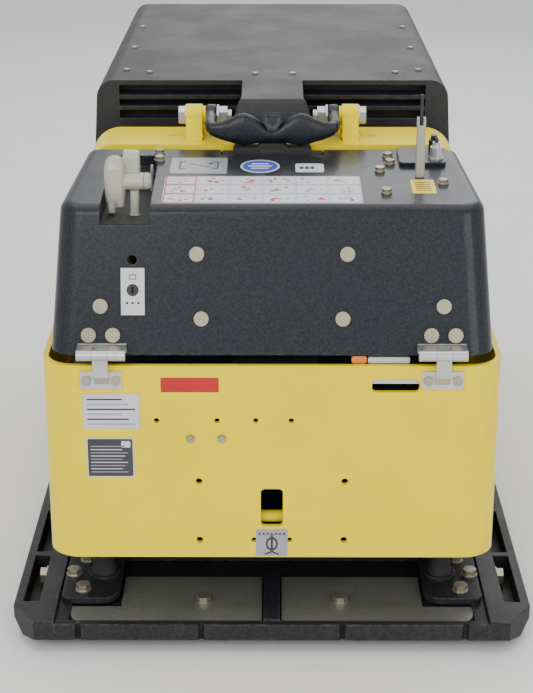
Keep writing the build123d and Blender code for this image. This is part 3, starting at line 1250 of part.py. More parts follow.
# ================================================================ the nodes
def main():
    """Build every node and write its STEP file."""
    os.makedirs("parts", exist_ok=True)
    write("base_plate", base_plate())
    write("pocket_plates", *four_corners(pocket_plate()))
    write("pocket_bolts", *hex_bolts(pocket_bolt_seats(), POCKET_HEAD, BRACKET_BOLT_R, POCKET_BOLT))
    write("extension_plate_right", extension_plate())
    write("extension_plate_left", mirrored_x(extension_plate()))
    write("extension_bolts", *hex_bolts(extension_bolt_seats(), EXT_HEAD, EXT_BOLT_R, EXT_BOLT))
    write("buffer_brackets", *four_corners(buffer_bracket()))
    write("bracket_bolts", *hex_bolts(bracket_bolt_seats(), BRACKET_HEAD, BRACKET_BOLT_R, BRACKET_BOLT))
    rubber, discs = buffer_stack()
    write("rubber_buffers", *four_corners(rubber))
    write("buffer_discs", *[piece for disc in discs for piece in four_corners(disc)])

    write("deck_plate", deck_plate())
    write("guard_front", guard_front())
    write("guard_rear", guard_rear())
    side = hex_bolts(guard_bolt_seats(), SIDE_HEAD, GUARD_BOLT_R - 1.0, 30.0)
    face = hex_bolts([front_seat(x, GUARD_FACE_Y, z) for x, z in FACE_BOLTS], FACE_HEAD, FACE_BOLT_R, 16.0)
    clamp = []
    for x in clamp_screw_x():
        seat = front_seat(x, GUARD_FACE_Y - HINGE_LEAF, clamp_screw_z())
        clamp.append(flat_bolt(seat, *CLAMP_HEAD, HINGE_PIN_R, HINGE_LEAF))
    write("guard_bolts", *side, *face, *clamp, *[mirrored_x(screw) for screw in clamp])
    write("lashing_bar", lashing_bar())
    write("slot_backing", slot_backing())
    write("rating_plates", *rating_plates())

    write("front_hood", front_hood())
    on_face = []
    for x, z in HOOD_FACE_BOLTS:
        on_face.append(flat_bolt(hood_face_place(x, z), *HOOD_FACE_HEAD, HOOD_BOLT_R, 12.0))
    on_top = hex_bolts([hood_top_place(x, y) for x, y in HOOD_TOP_BOLTS], HOOD_TOP_HEAD, HOOD_BOLT_R, 12.0)
    write("hood_bolts", *on_face, *on_top)
    leaf = hinge_upper_leaf()
    write("hinge_upper_leaves", leaf, mirrored_x(leaf))
    leaf = hinge_lower_leaf()
    write("hinge_lower_leaves", leaf, mirrored_x(leaf))
    pin = rod_x(*HINGE_X, HINGE_Y, HINGE_Z, HINGE_PIN_R)
    write("hinge_pins", pin, mirrored_x(pin))
    write("switch_plate", switch_plate())
    write("key_switch", key_switch())
    write("lever_ear", lever_ear())
    write("latch_lever", latch_lever())
    write("antenna_sleeve", antenna_sleeve())
    write("antenna_whip", rod_z(*ANTENNA, ANTENNA_SLEEVE_TOP - 38, WHIP_TOP, WHIP_R))
    write("antenna_bracket", antenna_bracket())
    write("radio_receiver", radio_receiver())

    write("lifting_arch", lifting_arch())
    bolt = bail_pivot_bolt()
    write("bail_pivot_bolts", bolt, mirrored_x(bolt))
    write("lifting_bail", lifting_bail())
    write("bail_rest", bail_rest())
    write("rear_hood", rear_hood())
    write("louvre_slats", *louvre_slats())
    rivets = [flat_bolt(rear_top_place(x, y), RIVET_R, RIVET_HEIGHT, RIVET_R - 1.5, 9.0) for x, y in RIVETS]
    write("rear_hood_rivets", *rivets)

    write("exciter_housing", exciter_housing())
    write("exciter_lid", exciter_lid())
    inner = EXCITER_HALF_X
    wall = EXCITER_WALL
    spans = ((-inner, -inner + wall), (inner - wall, inner))
    write("exciter_bearings", *[bearing(x0, x1, y) for x0, x1 in spans for y in (-SHAFT_Y, SHAFT_Y)])
    write("exciter_covers", *[end_cover(s, y) for s in (-1, 1) for y in (-SHAFT_Y, SHAFT_Y)])
    write("exciter_shaft_front", eccentric_shaft(-SHAFT_Y, 180.0 / GEAR_TEETH, inner + COVER_THICK))
    write("exciter_shaft_rear", eccentric_shaft(SHAFT_Y, 0.0, PULLEY_X[1] + 3))
    write("exciter_pulley", grooved_pulley(SHAFT_Y, SHAFT_Z, SHAFT_R + FIT_GAP))
    write("drive_belt", drive_belt())

    write("engine_block", engine_block())
    write("cylinder_head", cylinder_head())
    write("engine_mounts", *engine_mounts())
    write("crankshaft", crankshaft())
    write("flywheel", flywheel())
    write("crank_pulley", grooved_pulley(CRANK_Y, CRANK_Z, CRANK_R + FIT_GAP))
    write("muffler", muffler())
    write("radiator", radiator())
    write("radiator_frame", *radiator_frame())
    write("fan_motor", fan_motor())
    write("cooling_fan", cooling_fan())
    write("fuel_tank", fuel_tank())
    write("fuel_cap", fuel_cap())
    write("battery", battery())
    write("control_box", control_box())


main()
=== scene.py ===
"""Looks of a remote-controlled reversible plate compactor, built round its CAD frame."""

from dataclasses import dataclass
from enum import Enum
import logging
import math
import random

import bmesh
import bpy
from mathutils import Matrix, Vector

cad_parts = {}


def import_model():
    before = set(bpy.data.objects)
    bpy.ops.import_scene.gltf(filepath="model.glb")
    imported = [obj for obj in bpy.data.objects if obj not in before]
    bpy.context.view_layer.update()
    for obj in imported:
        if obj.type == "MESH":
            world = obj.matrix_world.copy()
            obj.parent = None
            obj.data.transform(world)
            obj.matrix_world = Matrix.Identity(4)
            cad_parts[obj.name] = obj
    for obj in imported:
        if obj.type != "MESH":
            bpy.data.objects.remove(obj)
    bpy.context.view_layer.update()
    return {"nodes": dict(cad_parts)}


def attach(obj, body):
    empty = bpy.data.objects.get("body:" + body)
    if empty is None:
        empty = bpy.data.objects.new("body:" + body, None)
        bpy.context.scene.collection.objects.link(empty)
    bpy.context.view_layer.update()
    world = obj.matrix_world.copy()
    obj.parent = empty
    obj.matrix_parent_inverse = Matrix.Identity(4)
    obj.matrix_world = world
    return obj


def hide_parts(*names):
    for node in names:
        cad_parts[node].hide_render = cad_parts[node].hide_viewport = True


LOG = logging.getLogger("plate_compactor")
MM = 0.001
Colour = tuple[float, float, float]
Point = tuple[float, float, float]
Pair = tuple[float, float]
Sides = tuple[float, float, float, float]
Outline = list[Pair]


# ---------------------------------------------------------------- shader maths
class Value:
    """A number in a shader graph, with arithmetic that adds Math nodes."""

    def __init__(self, graph: "Graph", socket: bpy.types.NodeSocket) -> None:
        """Wraps one output socket of a graph."""
        self.graph = graph
        self.socket = socket

    def _math(self, operation: str, *terms: "Value | float") -> "Value":
        """Adds one Math node.

        Args:
            operation: the Math node's operation.
            terms: its inputs, in order.

        Returns:
            The result.
        """
        return self.graph.node("ShaderNodeMath", {"operation": operation}, dict(enumerate(terms)))

    def __add__(self, other: "Value | float") -> "Value":
        """Sum."""
        return self._math("ADD", self, other)

    __radd__ = __add__

    def __mul__(self, other: "Value | float") -> "Value":
        """Product."""
        return self._math("MULTIPLY", self, other)

    __rmul__ = __mul__

    def __sub__(self, other: "Value | float") -> "Value":
        """Difference."""
        return self._math("SUBTRACT", self, other)

    def __rsub__(self, other: "Value | float") -> "Value":
        """Reflected difference."""
        return self._math("SUBTRACT", other, self)

    def ramp(self, low: float, high: float, start: float = 0.0, end: float = 1.0) -> "Value":
        """Smooth step from start to end as the value goes from low to high."""
        inputs = {0: self, 1: low, 2: high, 3: start, 4: end}
        return self.graph.node("ShaderNodeMapRange", {"interpolation_type": "SMOOTHSTEP"}, inputs)


class Graph:
    """Node tree of one material."""

    def __init__(self, name: str) -> None:
        """Makes an empty material of that name."""
        self.material = bpy.data.materials.new(name)
        self.material.use_nodes = True
        self.tree = self.material.node_tree
        self.tree.nodes.clear()

    def node(self, kind: str, settings: dict, inputs: dict, output: int | str = 0) -> Value:
        """Adds a node.

        Args:
            kind: the node's type.
            settings: attributes, which are set first.
            inputs: values or links, by socket name or index.
            output: which output is returned.

        Returns:
            The chosen output.
        """
        node = self.tree.nodes.new(kind)
        for key, value in settings.items():
            setattr(node, key, value)
        for key, value in inputs.items():
            if isinstance(value, Value):
                self.tree.links.new(value.socket, node.inputs[key])
            else:
                node.inputs[key].default_value = value
        return Value(self, node.outputs[output])

    def place(self, output: str = "Object") -> Value:
        """Texture coordinates: the piece's own."""
        return self.node("ShaderNodeTexCoord", {}, {}, output)

    def noise(self, scale: float, detail: float = 3.0, rough: float = 0.5) -> Value:
        """Noise over the piece.

        Args:
            scale: cells per metre.
            detail: octaves.
            rough: weight of the finer octaves.

        Returns:
            A value from 0 to 1.
        """
        inputs = {"Vector": self.place(), "Scale": scale, "Detail": detail, "Roughness": rough}
        return self.node("ShaderNodeTexNoise", {}, inputs)

    def axis(self, name: str, output: str = "Object") -> Value:
        """One component of the piece's coordinates or normal."""
        return self.node("ShaderNodeSeparateXYZ", {}, {"Vector": self.place(output)}, name)

    def mix(self, factor: Value | float, first: "Value | Colour", second: "Value | Colour") -> Value:
        """Mix of two colours.

        Args:
            factor: share of the second colour.
            first: colour at 0.
            second: colour at 1.

        Returns:
            The mixed colour.
        """
        def ready(colour: "Value | Colour") -> "Value | tuple":
            """A link, or a colour with its alpha."""
            return colour if isinstance(colour, Value) else (*colour, 1.0)

        inputs = {0: factor, 6: ready(first), 7: ready(second)}
        return self.node("ShaderNodeMix", {"data_type": "RGBA"}, inputs, 2)

    def edge(self, radius: float) -> Value:
        """Mask of sharp convex and concave edges, 0 on flats."""
        round_normal = self.node("ShaderNodeBevel", {"samples": 4}, {"Radius": radius})
        flat_normal = self.node("ShaderNodeNewGeometry", {}, {}, "Normal")
        pair = {0: round_normal, 1: flat_normal}
        same = self.node("ShaderNodeVectorMath", {"operation": "DOT_PRODUCT"}, pair, "Value")
        return (1.0 - same).ramp(0.02, 0.25)

    def bump(self, height: Value, distance: float, strength: float, under: Value | None = None) -> Value:
        """Bump from a height, over another normal.

        Args:
            height: the height, 0 to 1.
            distance: what a height of 1 stands for, in metres.
            strength: how strongly it shows.
            under: the normal below it.

        Returns:
            The bumped normal.
        """
        inputs = {"Height": height, "Distance": distance, "Strength": strength}
        if under is not None:
            inputs["Normal"] = under
        return self.node("ShaderNodeBump", {}, inputs)

    def surface(self, sockets: dict) -> bpy.types.Material:
        """Closes the graph with a Principled shader."""
        shader = self.node("ShaderNodeBsdfPrincipled", {}, sockets)
        end = self.tree.nodes.new("ShaderNodeOutputMaterial")
        self.tree.links.new(shader.socket, end.inputs["Surface"])
        return self.material


# ---------------------------------------------------------------- finishes
DUST_COLOUR: Colour = (0.42, 0.38, 0.32)
PATCH_SCALE = 9.0            # cells per metre of the soft patches
SCUFF_SCALE = 70.0           # of the breaks in worn edges
SPECK_SCALE = 260.0          # of the dust
COAT_ROUGHNESS = 0.08


@dataclass(frozen=True)
class Finish:
    """A coat or a bare surface with mottling, grain, worn edges and dust.

    Attributes:
        name: material name.
        colour: main colour.
        mottle: colour of the soft patches.
        roughness: mean roughness.
        scatter: how far the roughness varies.
        metallic: share of metal.
        grain: grain cells per metre.
        height: grain height in metres.
        strength: bump strength.
        worn: colour on worn edges.
        wear: how far the edges are worn, 0 to 1.
        dust: share of pale dust on upward faces.
        coat: clear coat weight.
        bevel: rounding of sharp edges in metres.
        specular: specular level.
        tint: colour of the highlights.
    """

    name: str
    colour: Colour
    mottle: Colour
    roughness: float
    scatter: float = 0.08
    metallic: float = 0.0
    grain: float = 600.0
    height: float = 0.0004
    strength: float = 0.3
    worn: Colour = (0.3, 0.3, 0.3)
    wear: float = 0.2
    dust: float = 0.05
    coat: float = 0.0
    bevel: float = 0.0012
    specular: float = 0.5
    tint: Colour = (1.0, 1.0, 1.0)

    def build(self) -> bpy.types.Material:
        """Makes the material."""
        g = Graph(self.name)
        patches = g.noise(PATCH_SCALE, 4.0, 0.6).ramp(0.35, 0.7)
        fine = g.noise(self.grain, 2.0, 0.6)
        colour = g.mix(patches, self.colour, self.mottle)
        colour = g.mix(fine.ramp(0.3, 0.75) * 0.12, colour, self.worn)
        scuffs = g.noise(SCUFF_SCALE, 5.0, 0.7).ramp(0.45, 0.62)
        worn = g.edge(self.bevel * 1.6) * scuffs * self.wear
        colour = g.mix(worn, colour, self.worn)
        upward = g.axis("Z", "Normal").ramp(0.5, 1.0)
        specks = g.noise(SPECK_SCALE, 4.0, 0.8).ramp(0.5, 0.75)
        dust = upward * specks * self.dust
        colour = g.mix(dust, colour, DUST_COLOUR)
        rough = (patches - 0.5) * self.scatter + fine * (self.scatter * 0.5) + self.roughness + dust * 0.4
        soft = g.node("ShaderNodeBevel", {"samples": 4}, {"Radius": self.bevel})
        normal = g.bump(fine, self.height, self.strength, soft)
        return g.surface({"Base Color": colour, "Roughness": rough, "Metallic": self.metallic,
                          "Normal": normal, "Coat Weight": self.coat, "Coat Roughness": COAT_ROUGHNESS,
                          "Specular IOR Level": self.specular, "Specular Tint": (*self.tint, 1.0)})


class Coat(Enum):
    """The finishes of the machine."""

    YELLOW = Finish("yellow_paint", (0.95, 0.75, 0.0), (0.92, 0.70, 0.0), 0.36, 0.06, grain=420.0,
                    height=0.0003, strength=0.12, worn=(0.80, 0.56, 0.0), wear=0.25, dust=0.0, specular=0.5,
                    tint=(1.0, 0.72, 0.0))
    HOOD = Finish("hood_paint", (0.0085, 0.0105, 0.014), (0.0065, 0.008, 0.011), 0.34, 0.06, grain=300.0,
                  height=0.0005, strength=0.10, worn=(0.13, 0.14, 0.16), wear=0.6, dust=0.05, coat=0.12,
                  bevel=0.003, specular=0.28)
    TEXTURED = Finish("textured_coat", (0.0115, 0.0122, 0.0135), (0.009, 0.0096, 0.011), 0.50, 0.08,
                      grain=380.0, height=0.0006, strength=0.4, worn=(0.12, 0.12, 0.12), wear=0.45,
                      dust=0.10, bevel=0.002, specular=0.4)
    CAST = Finish("cast_black", (0.008, 0.009, 0.011), (0.012, 0.013, 0.015), 0.46, 0.10, grain=240.0,
                  height=0.0008, strength=0.35, worn=(0.13, 0.13, 0.13), wear=0.7, dust=0.05, bevel=0.003,
                  specular=0.3)
    BRIGHT = Finish("bright_sheet", (0.30, 0.30, 0.25), (0.22, 0.22, 0.18), 0.30, 0.12, 0.55, grain=60.0,
                    height=0.0004, strength=0.08, worn=(0.5, 0.48, 0.44), wear=0.4, dust=0.02)
    ZINC = Finish("zinc_plate", (0.60, 0.60, 0.58), (0.50, 0.50, 0.49), 0.34, 0.14, 0.85, grain=900.0,
                  height=0.0002, strength=0.2, worn=(0.75, 0.75, 0.73), wear=0.4, dust=0.05, bevel=0.0007)
    BOLT = Finish("bolt_plate", (0.42, 0.38, 0.26), (0.30, 0.28, 0.20), 0.40, 0.16, 0.8, grain=700.0,
                  height=0.0002, strength=0.25, worn=(0.7, 0.68, 0.6), wear=0.5, dust=0.08, bevel=0.0008)
    PALE_CAST = Finish("pale_cast", (0.42, 0.41, 0.33), (0.34, 0.33, 0.26), 0.38, 0.12, 0.15, grain=320.0,
                       height=0.0005, strength=0.3, worn=(0.60, 0.58, 0.50), wear=0.4, dust=0.06,
                       bevel=0.0015)
    RUBBER = Finish("black_rubber", (0.014, 0.014, 0.014), (0.02, 0.02, 0.02), 0.72, 0.1, grain=500.0,
                    height=0.0004, strength=0.35, worn=(0.05, 0.05, 0.05), wear=0.3, dust=0.25)
    FORGED = Finish("forged_black", (0.006, 0.0075, 0.011), (0.009, 0.011, 0.015), 0.36, 0.12, grain=240.0,
                    height=0.0009, strength=0.3, worn=(0.09, 0.10, 0.11), wear=0.5, dust=0.04, coat=0.08,
                    specular=0.35)
    LABEL = Finish("label_plate", (0.62, 0.62, 0.60), (0.55, 0.55, 0.54), 0.4, 0.08, 0.2, grain=900.0,
                   height=0.0001, strength=0.1, worn=(0.7, 0.7, 0.7), wear=0.2, dust=0.02, bevel=0.0004)
    PLASTIC = Finish("black_plastic", (0.018, 0.018, 0.019), (0.024, 0.024, 0.025), 0.45, 0.08, grain=700.0,
                     height=0.0003, strength=0.3, worn=(0.06, 0.06, 0.06), wear=0.3, dust=0.1)
    IRON = Finish("raw_iron", (0.20, 0.20, 0.20), (0.15, 0.145, 0.14), 0.55, 0.12, 0.4, grain=320.0,
                  height=0.001, strength=0.5, worn=(0.35, 0.34, 0.33), wear=0.5, dust=0.2)
    MACHINED = Finish("machined_steel", (0.50, 0.50, 0.50), (0.44, 0.44, 0.45), 0.28, 0.1, 0.95,
                      grain=800.0, height=0.0002, strength=0.2, worn=(0.6, 0.6, 0.6), wear=0.3, dust=0.03)
    ENGINE = Finish("engine_grey", (0.12, 0.125, 0.13), (0.10, 0.10, 0.105), 0.5, 0.1, 0.1, grain=300.0,
                    height=0.0008, strength=0.4, worn=(0.3, 0.3, 0.3), wear=0.4, dust=0.2)
    ALLOY = Finish("radiator_alloy", (0.05, 0.05, 0.045), (0.04, 0.04, 0.035), 0.6, 0.1, 0.3, grain=900.0,
                   height=0.0004, strength=0.4, worn=(0.12, 0.12, 0.1), wear=0.3, dust=0.1)
    WHITE = Finish("white_label", (0.62, 0.62, 0.66), (0.57, 0.57, 0.62), 0.42, 0.06, grain=900.0,
                   height=0.0001, strength=0.1, worn=(0.7, 0.7, 0.72), wear=0.1, dust=0.02, bevel=0.0003)
    SILVER_LABEL = Finish("silver_label", (0.34, 0.35, 0.38), (0.30, 0.31, 0.34), 0.35, 0.08, 0.3,
                          grain=900.0, height=0.0001, strength=0.1, worn=(0.5, 0.5, 0.5), wear=0.1,
                          dust=0.02, bevel=0.0003)
    RED = Finish("red_mark", (0.50, 0.004, 0.001), (0.44, 0.004, 0.001), 0.45, 0.06, grain=900.0,
                 height=0.0001, strength=0.1, worn=(0.6, 0.2, 0.15), wear=0.1, dust=0.02, bevel=0.0003)
    BLUE = Finish("blue_mark", (0.02, 0.08, 0.42), (0.02, 0.07, 0.36), 0.4, 0.06, grain=900.0,
                  height=0.0001, strength=0.1, worn=(0.2, 0.3, 0.5), wear=0.1, dust=0.02, bevel=0.0003)
    INK = Finish("black_mark", (0.03, 0.03, 0.035), (0.05, 0.05, 0.055), 0.5, 0.06, grain=900.0,
                 height=0.0001, strength=0.1, worn=(0.1, 0.1, 0.1), wear=0.1, dust=0.02, bevel=0.0003)
    AMBER = Finish("amber_mark", (0.90, 0.66, 0.0), (0.84, 0.60, 0.0), 0.4, 0.06, grain=900.0,
                   height=0.0001, strength=0.1, worn=(0.8, 0.6, 0.2), wear=0.1, dust=0.02, bevel=0.0003)
    ORANGE = Finish("orange_lens", (0.80, 0.22, 0.01), (0.70, 0.18, 0.01), 0.2, 0.06, grain=500.0,
                    height=0.0001, strength=0.1, worn=(0.8, 0.4, 0.1), wear=0.1, dust=0.05, coat=0.5,
                    bevel=0.0008)


NODE_COATS: dict[Coat, tuple[str, ...]] = {
    Coat.CAST: ("base_plate", "extension_plate_left", "extension_plate_right", "buffer_brackets",
                "buffer_discs", "deck_plate", "radiator_frame"),
    Coat.BRIGHT: ("pocket_plates",),
    Coat.BOLT: ("pocket_bolts", "extension_bolts", "bracket_bolts", "guard_bolts", "hood_bolts",
                "rear_hood_rivets"),
    Coat.YELLOW: ("guard_front", "guard_rear", "lashing_bar", "lifting_arch"),
    Coat.HOOD: ("front_hood", "antenna_bracket", "louvre_slats"),
    Coat.TEXTURED: ("rear_hood",),
    Coat.ZINC: ("hinge_upper_leaves", "hinge_lower_leaves", "hinge_pins", "bail_pivot_bolts"),
    Coat.PALE_CAST: ("lever_ear", "latch_lever", "antenna_sleeve"),
    Coat.RUBBER: ("rubber_buffers", "bail_rest", "drive_belt", "engine_mounts"),
    Coat.FORGED: ("lifting_bail",),
    Coat.LABEL: ("slot_backing", "rating_plates", "switch_plate"),
    Coat.PLASTIC: ("key_switch", "antenna_whip", "radio_receiver", "fan_motor", "cooling_fan", "fuel_tank",
                   "fuel_cap", "battery", "control_box"),
    Coat.IRON: ("exciter_housing", "exciter_lid", "exciter_covers", "exciter_pulley", "flywheel",
                "crank_pulley", "muffler"),
    Coat.MACHINED: ("exciter_bearings", "exciter_shaft_front", "exciter_shaft_rear", "crankshaft"),
    Coat.ENGINE: ("engine_block", "cylinder_head"),
    Coat.ALLOY: ("radiator",),
}


class Paintbox:
    """Materials by finish, each made once."""

    def __init__(self) -> None:
        """Starts empty."""
        self.made: dict[str, bpy.types.Material] = {}

    def get(self, finish: Finish) -> bpy.types.Material:
        """The material of a finish."""
        if finish.name not in self.made:
            self.made[finish.name] = finish.build()
        return self.made[finish.name]

    def dress_nodes(self, nodes: dict[str, bpy.types.Object]) -> None:
        """Gives every CAD node its finish."""
        for coat, names in NODE_COATS.items():
            for name in names:
                data = nodes[name].data
                data.materials.clear()
                data.materials.append(self.get(coat.value))


# ---------------------------------------------------------------- mesh tools
X_AXIS = Vector((1.0, 0.0, 0.0))
Y_AXIS = Vector((0.0, 1.0, 0.0))
Z_AXIS = Vector((0.0, 0.0, 1.0))


class Builder:
    """One new piece, gathered as closed shells in millimetres and handed over in metres."""

    def __init__(self, name: str, coats: tuple[Coat, ...]) -> None:
        """Starts an empty piece with its finishes, one per material slot."""
        self.name = name
        self.coats = coats
        self.shape = bmesh.new()

    def _loop(self, ring: list[Vector]) -> list[bmesh.types.BMEdge]:
        """Closed loop of edges through points."""
        corners = [self.shape.verts.new(point) for point in ring]
        return [self.shape.edges.new(ends) for ends in zip(corners, corners[1:] + corners[:1])]

    def _dress(self, before: int, coat: int) -> None:
        """Turns the faces made since a count outwards and gives them their material slot."""
        self.shape.faces.ensure_lookup_table()
        made = self.shape.faces[before:]
        bmesh.ops.recalc_face_normals(self.shape, faces=made)
        for face in made:
            face.material_index = coat

    def loft(self, rings: list[list[Vector]], coat: int = 0) -> None:
        """Closed shell through rings of equally many points.

        Args:
            rings: the sections, in order.
            coat: material slot.
        """
        before = len(self.shape.faces)
        loops = [self._loop(ring) for ring in rings]
        for low, high in zip(loops, loops[1:]):
            bmesh.ops.bridge_loops(self.shape, edges=low + high)
        for end in (loops[0], loops[-1]):
            bmesh.ops.edgeloop_fill(self.shape, edges=end)
        self._dress(before, coat)

    def spin(self, profile: Outline, pivot: Vector, side: int, steps: int = 32) -> None:
        """Closed ring turned from a profile round a line along X.

        Args:
            profile: corners as distance along X and radius.
            pivot: a point of the line.
            side: +1 for right, -1 for left.
            steps: parts of the full turn.
        """
        before = len(self.shape.faces)
        edges = self._loop([pivot + X_AXIS * (side * x) + Y_AXIS * radius for x, radius in profile])
        corners = list({corner for edge in edges for corner in edge.verts})
        bmesh.ops.spin(self.shape, geom=corners + edges, cent=pivot, axis=X_AXIS, angle=math.tau, steps=steps,
                       use_merge=True)
        self._dress(before, 0)

    def slab(self, seat: "Seat", outline: Outline, low: float, high: float, coat: int = 0) -> None:
        """Flat closed plate on a seat.

        Args:
            seat: where it lies.
            outline: its corners on the seat.
            low: its underside above the seat.
            high: its top above the seat.
            coat: material slot.
        """
        rings = [[seat.at(u, v, w) for u, v in outline] for w in (low, high)]
        self.loft(rings, coat)

    def rod(self, start: Vector, end: Vector, radii: tuple[float, ...], coat: int = 0,
            steps: int = 28) -> None:
        """Round closed shell between two points.

        Args:
            start: middle of the first end.
            end: middle of the last end.
            radii: radii, spread evenly between the ends.
            coat: material slot.
            steps: corners of a section.
        """
        axis = (end - start).normalized()
        side = axis.orthogonal().normalized()
        other = axis.cross(side)
        rings = []
        for index, radius in enumerate(radii):
            centre = start.lerp(end, index / (len(radii) - 1))
            ring = []
            for step in range(steps):
                angle = math.tau * step / steps
                ring.append(centre + (side * math.cos(angle) + other * math.sin(angle)) * radius)
            rings.append(ring)
        self.loft(rings, coat)

    def finish(self, paints: Paintbox, body: str, slot: str,
               replaces: str | None = None) -> bpy.types.Object:
        """Makes the object and attaches it to its body.

        Args:
            paints: where materials come from.
            body: the body that carries it.
            slot: not used.
            replaces: the CAD node it stands for.

        Returns:
            The new object.
        """
        for vertex in self.shape.verts:
            vertex.co *= MM
        mesh = bpy.data.meshes.new(self.name)
        self.shape.to_mesh(mesh)
        self.shape.free()
        for coat in self.coats:
            mesh.materials.append(paints.get(coat.value))
        piece = bpy.data.objects.new(self.name, mesh)
        bpy.context.scene.collection.objects.link(piece)
        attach(piece, body)
        if replaces is not None:
            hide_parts(replaces)
        LOG.info("%s: %d faces on %s", self.name, len(mesh.polygons), body)
        return piece


@dataclass(frozen=True)
class Seat:
    """A flat place on the machine, in millimetres.

    Attributes:
        origin: the point where u, v and w are 0.
        along: unit vector of u.
        up: unit vector of v.
    """

    origin: Vector
    along: Vector
    up: Vector

    def at(self, u: float, v: float, w: float) -> Vector:
        """The point at u, v on the seat and w above it."""
        return self.origin + self.along * u + self.up * v + self.along.cross(self.up) * w


def box(left: float, right: float, low: float, high: float) -> Outline:
    """Outline of a rectangle, anticlockwise."""
    return [(left, low), (right, low), (right, high), (left, high)]


def rounded(left: float, right: float, low: float, high: float, corner: float, steps: int = 4) -> Outline:
    """Outline of a rectangle with rounded corners, anticlockwise.

    Args:
        left: left side.
        right: right side.
        low: lower side.
        high: upper side.
        corner: radius of the corners.
        steps: parts of a corner.

    Returns:
        The corners of the outline.
    """
    points = []
    centres = ((right - corner, low + corner, -90), (right - corner, high - corner, 0),
               (left + corner, high - corner, 90), (left + corner, low + corner, 180))
    for u, v, start in centres:
        for step in range(steps + 1):
            angle = math.radians(start + 90.0 * step / steps)
            points.append((u + corner * math.cos(angle), v + corner * math.sin(angle)))
    return points


def oval(u: float, v: float, half_u: float, half_v: float, steps: int = 36) -> Outline:
    """Outline of an oval, anticlockwise."""
    turns = [math.tau * step / steps for step in range(steps)]
    return [(u + half_u * math.cos(turn), v + half_v * math.sin(turn)) for turn in turns]


def squircle(centre: Vector, along: Vector, up: Vector, half_a: float, half_b: float, power: float = 2.6,
             steps: int = 28) -> list[Vector]:
    """Ring with a shape between an oval and a rounded rectangle.

    Args:
        centre: its middle.
        along: unit vector of its first half axis.
        up: unit vector of its second half axis.
        half_a: first half axis.
        half_b: second half axis.
        power: 2 for an oval, more for squarer corners.
        steps: corners of the ring.

    Returns:
        The ring's points.
    """
    ring = []
    for step in range(steps):
        turn = math.tau * step / steps
        a = math.copysign(abs(math.cos(turn)) ** (2 / power), math.cos(turn))
        b = math.copysign(abs(math.sin(turn)) ** (2 / power), math.sin(turn))
        ring.append(centre + along * (half_a * a) + up * (half_b * b))
    return ring


def blend(piece: bpy.types.Object, voxel: float, rounds: int) -> None:
    """Melts a piece's overlapping shells into one smooth skin.

    Args:
        piece: the piece.
        voxel: grain of the skin in metres.
        rounds: rounds of smoothing.
    """
    skin = piece.modifiers.new("skin", "REMESH")
    skin.mode = "VOXEL"
    skin.voxel_size = voxel
    skin.use_smooth_shade = True
    soft = piece.modifiers.new("soft", "SMOOTH")
    soft.factor = 0.5
    soft.iterations = rounds


# ---------------------------------------------------------------- places on the machine
GUARD_FACE_Y = -575.0
HOOD_FOOT = Vector((0.0, -570.0, 455.0))
HOOD_LEAN = 0.2435           # run back for each unit up
HOOD_BROW = Vector((0.0, -520.8, 657.0))
HOOD_RISE = 0.0716           # rise for each unit back


def guard_seat(z: float = 0.0) -> Seat:
    """The guard's front face, with v as the height."""
    return Seat(Vector((0.0, GUARD_FACE_Y, z)), X_AXIS, Z_AXIS)


def face_seat(x: float, z: float) -> Seat:
    """The hood's leaning front face, centred on a point of it."""
    up = Vector((0.0, HOOD_LEAN, 1.0)).normalized()
    return Seat(Vector((x, HOOD_FOOT.y + HOOD_LEAN * (z - HOOD_FOOT.z), z)), X_AXIS, up)


def top_seat(x: float, y: float) -> Seat:
    """The hood's sloping top, centred on a point of it."""
    up = Vector((0.0, 1.0, HOOD_RISE)).normalized()
    return Seat(Vector((x, y, HOOD_BROW.z + HOOD_RISE * (y - HOOD_BROW.y))), X_AXIS, up)


# ---------------------------------------------------------------- labels
LABEL_LOW = -0.3
LABEL_HIGH = 0.5
MARK_HIGH = 0.8
PLATE_LOW = 0.6              # stickers that lie on the guard's metal plates
PLATE_HIGH = 1.3
PLATE_MARK = 1.5


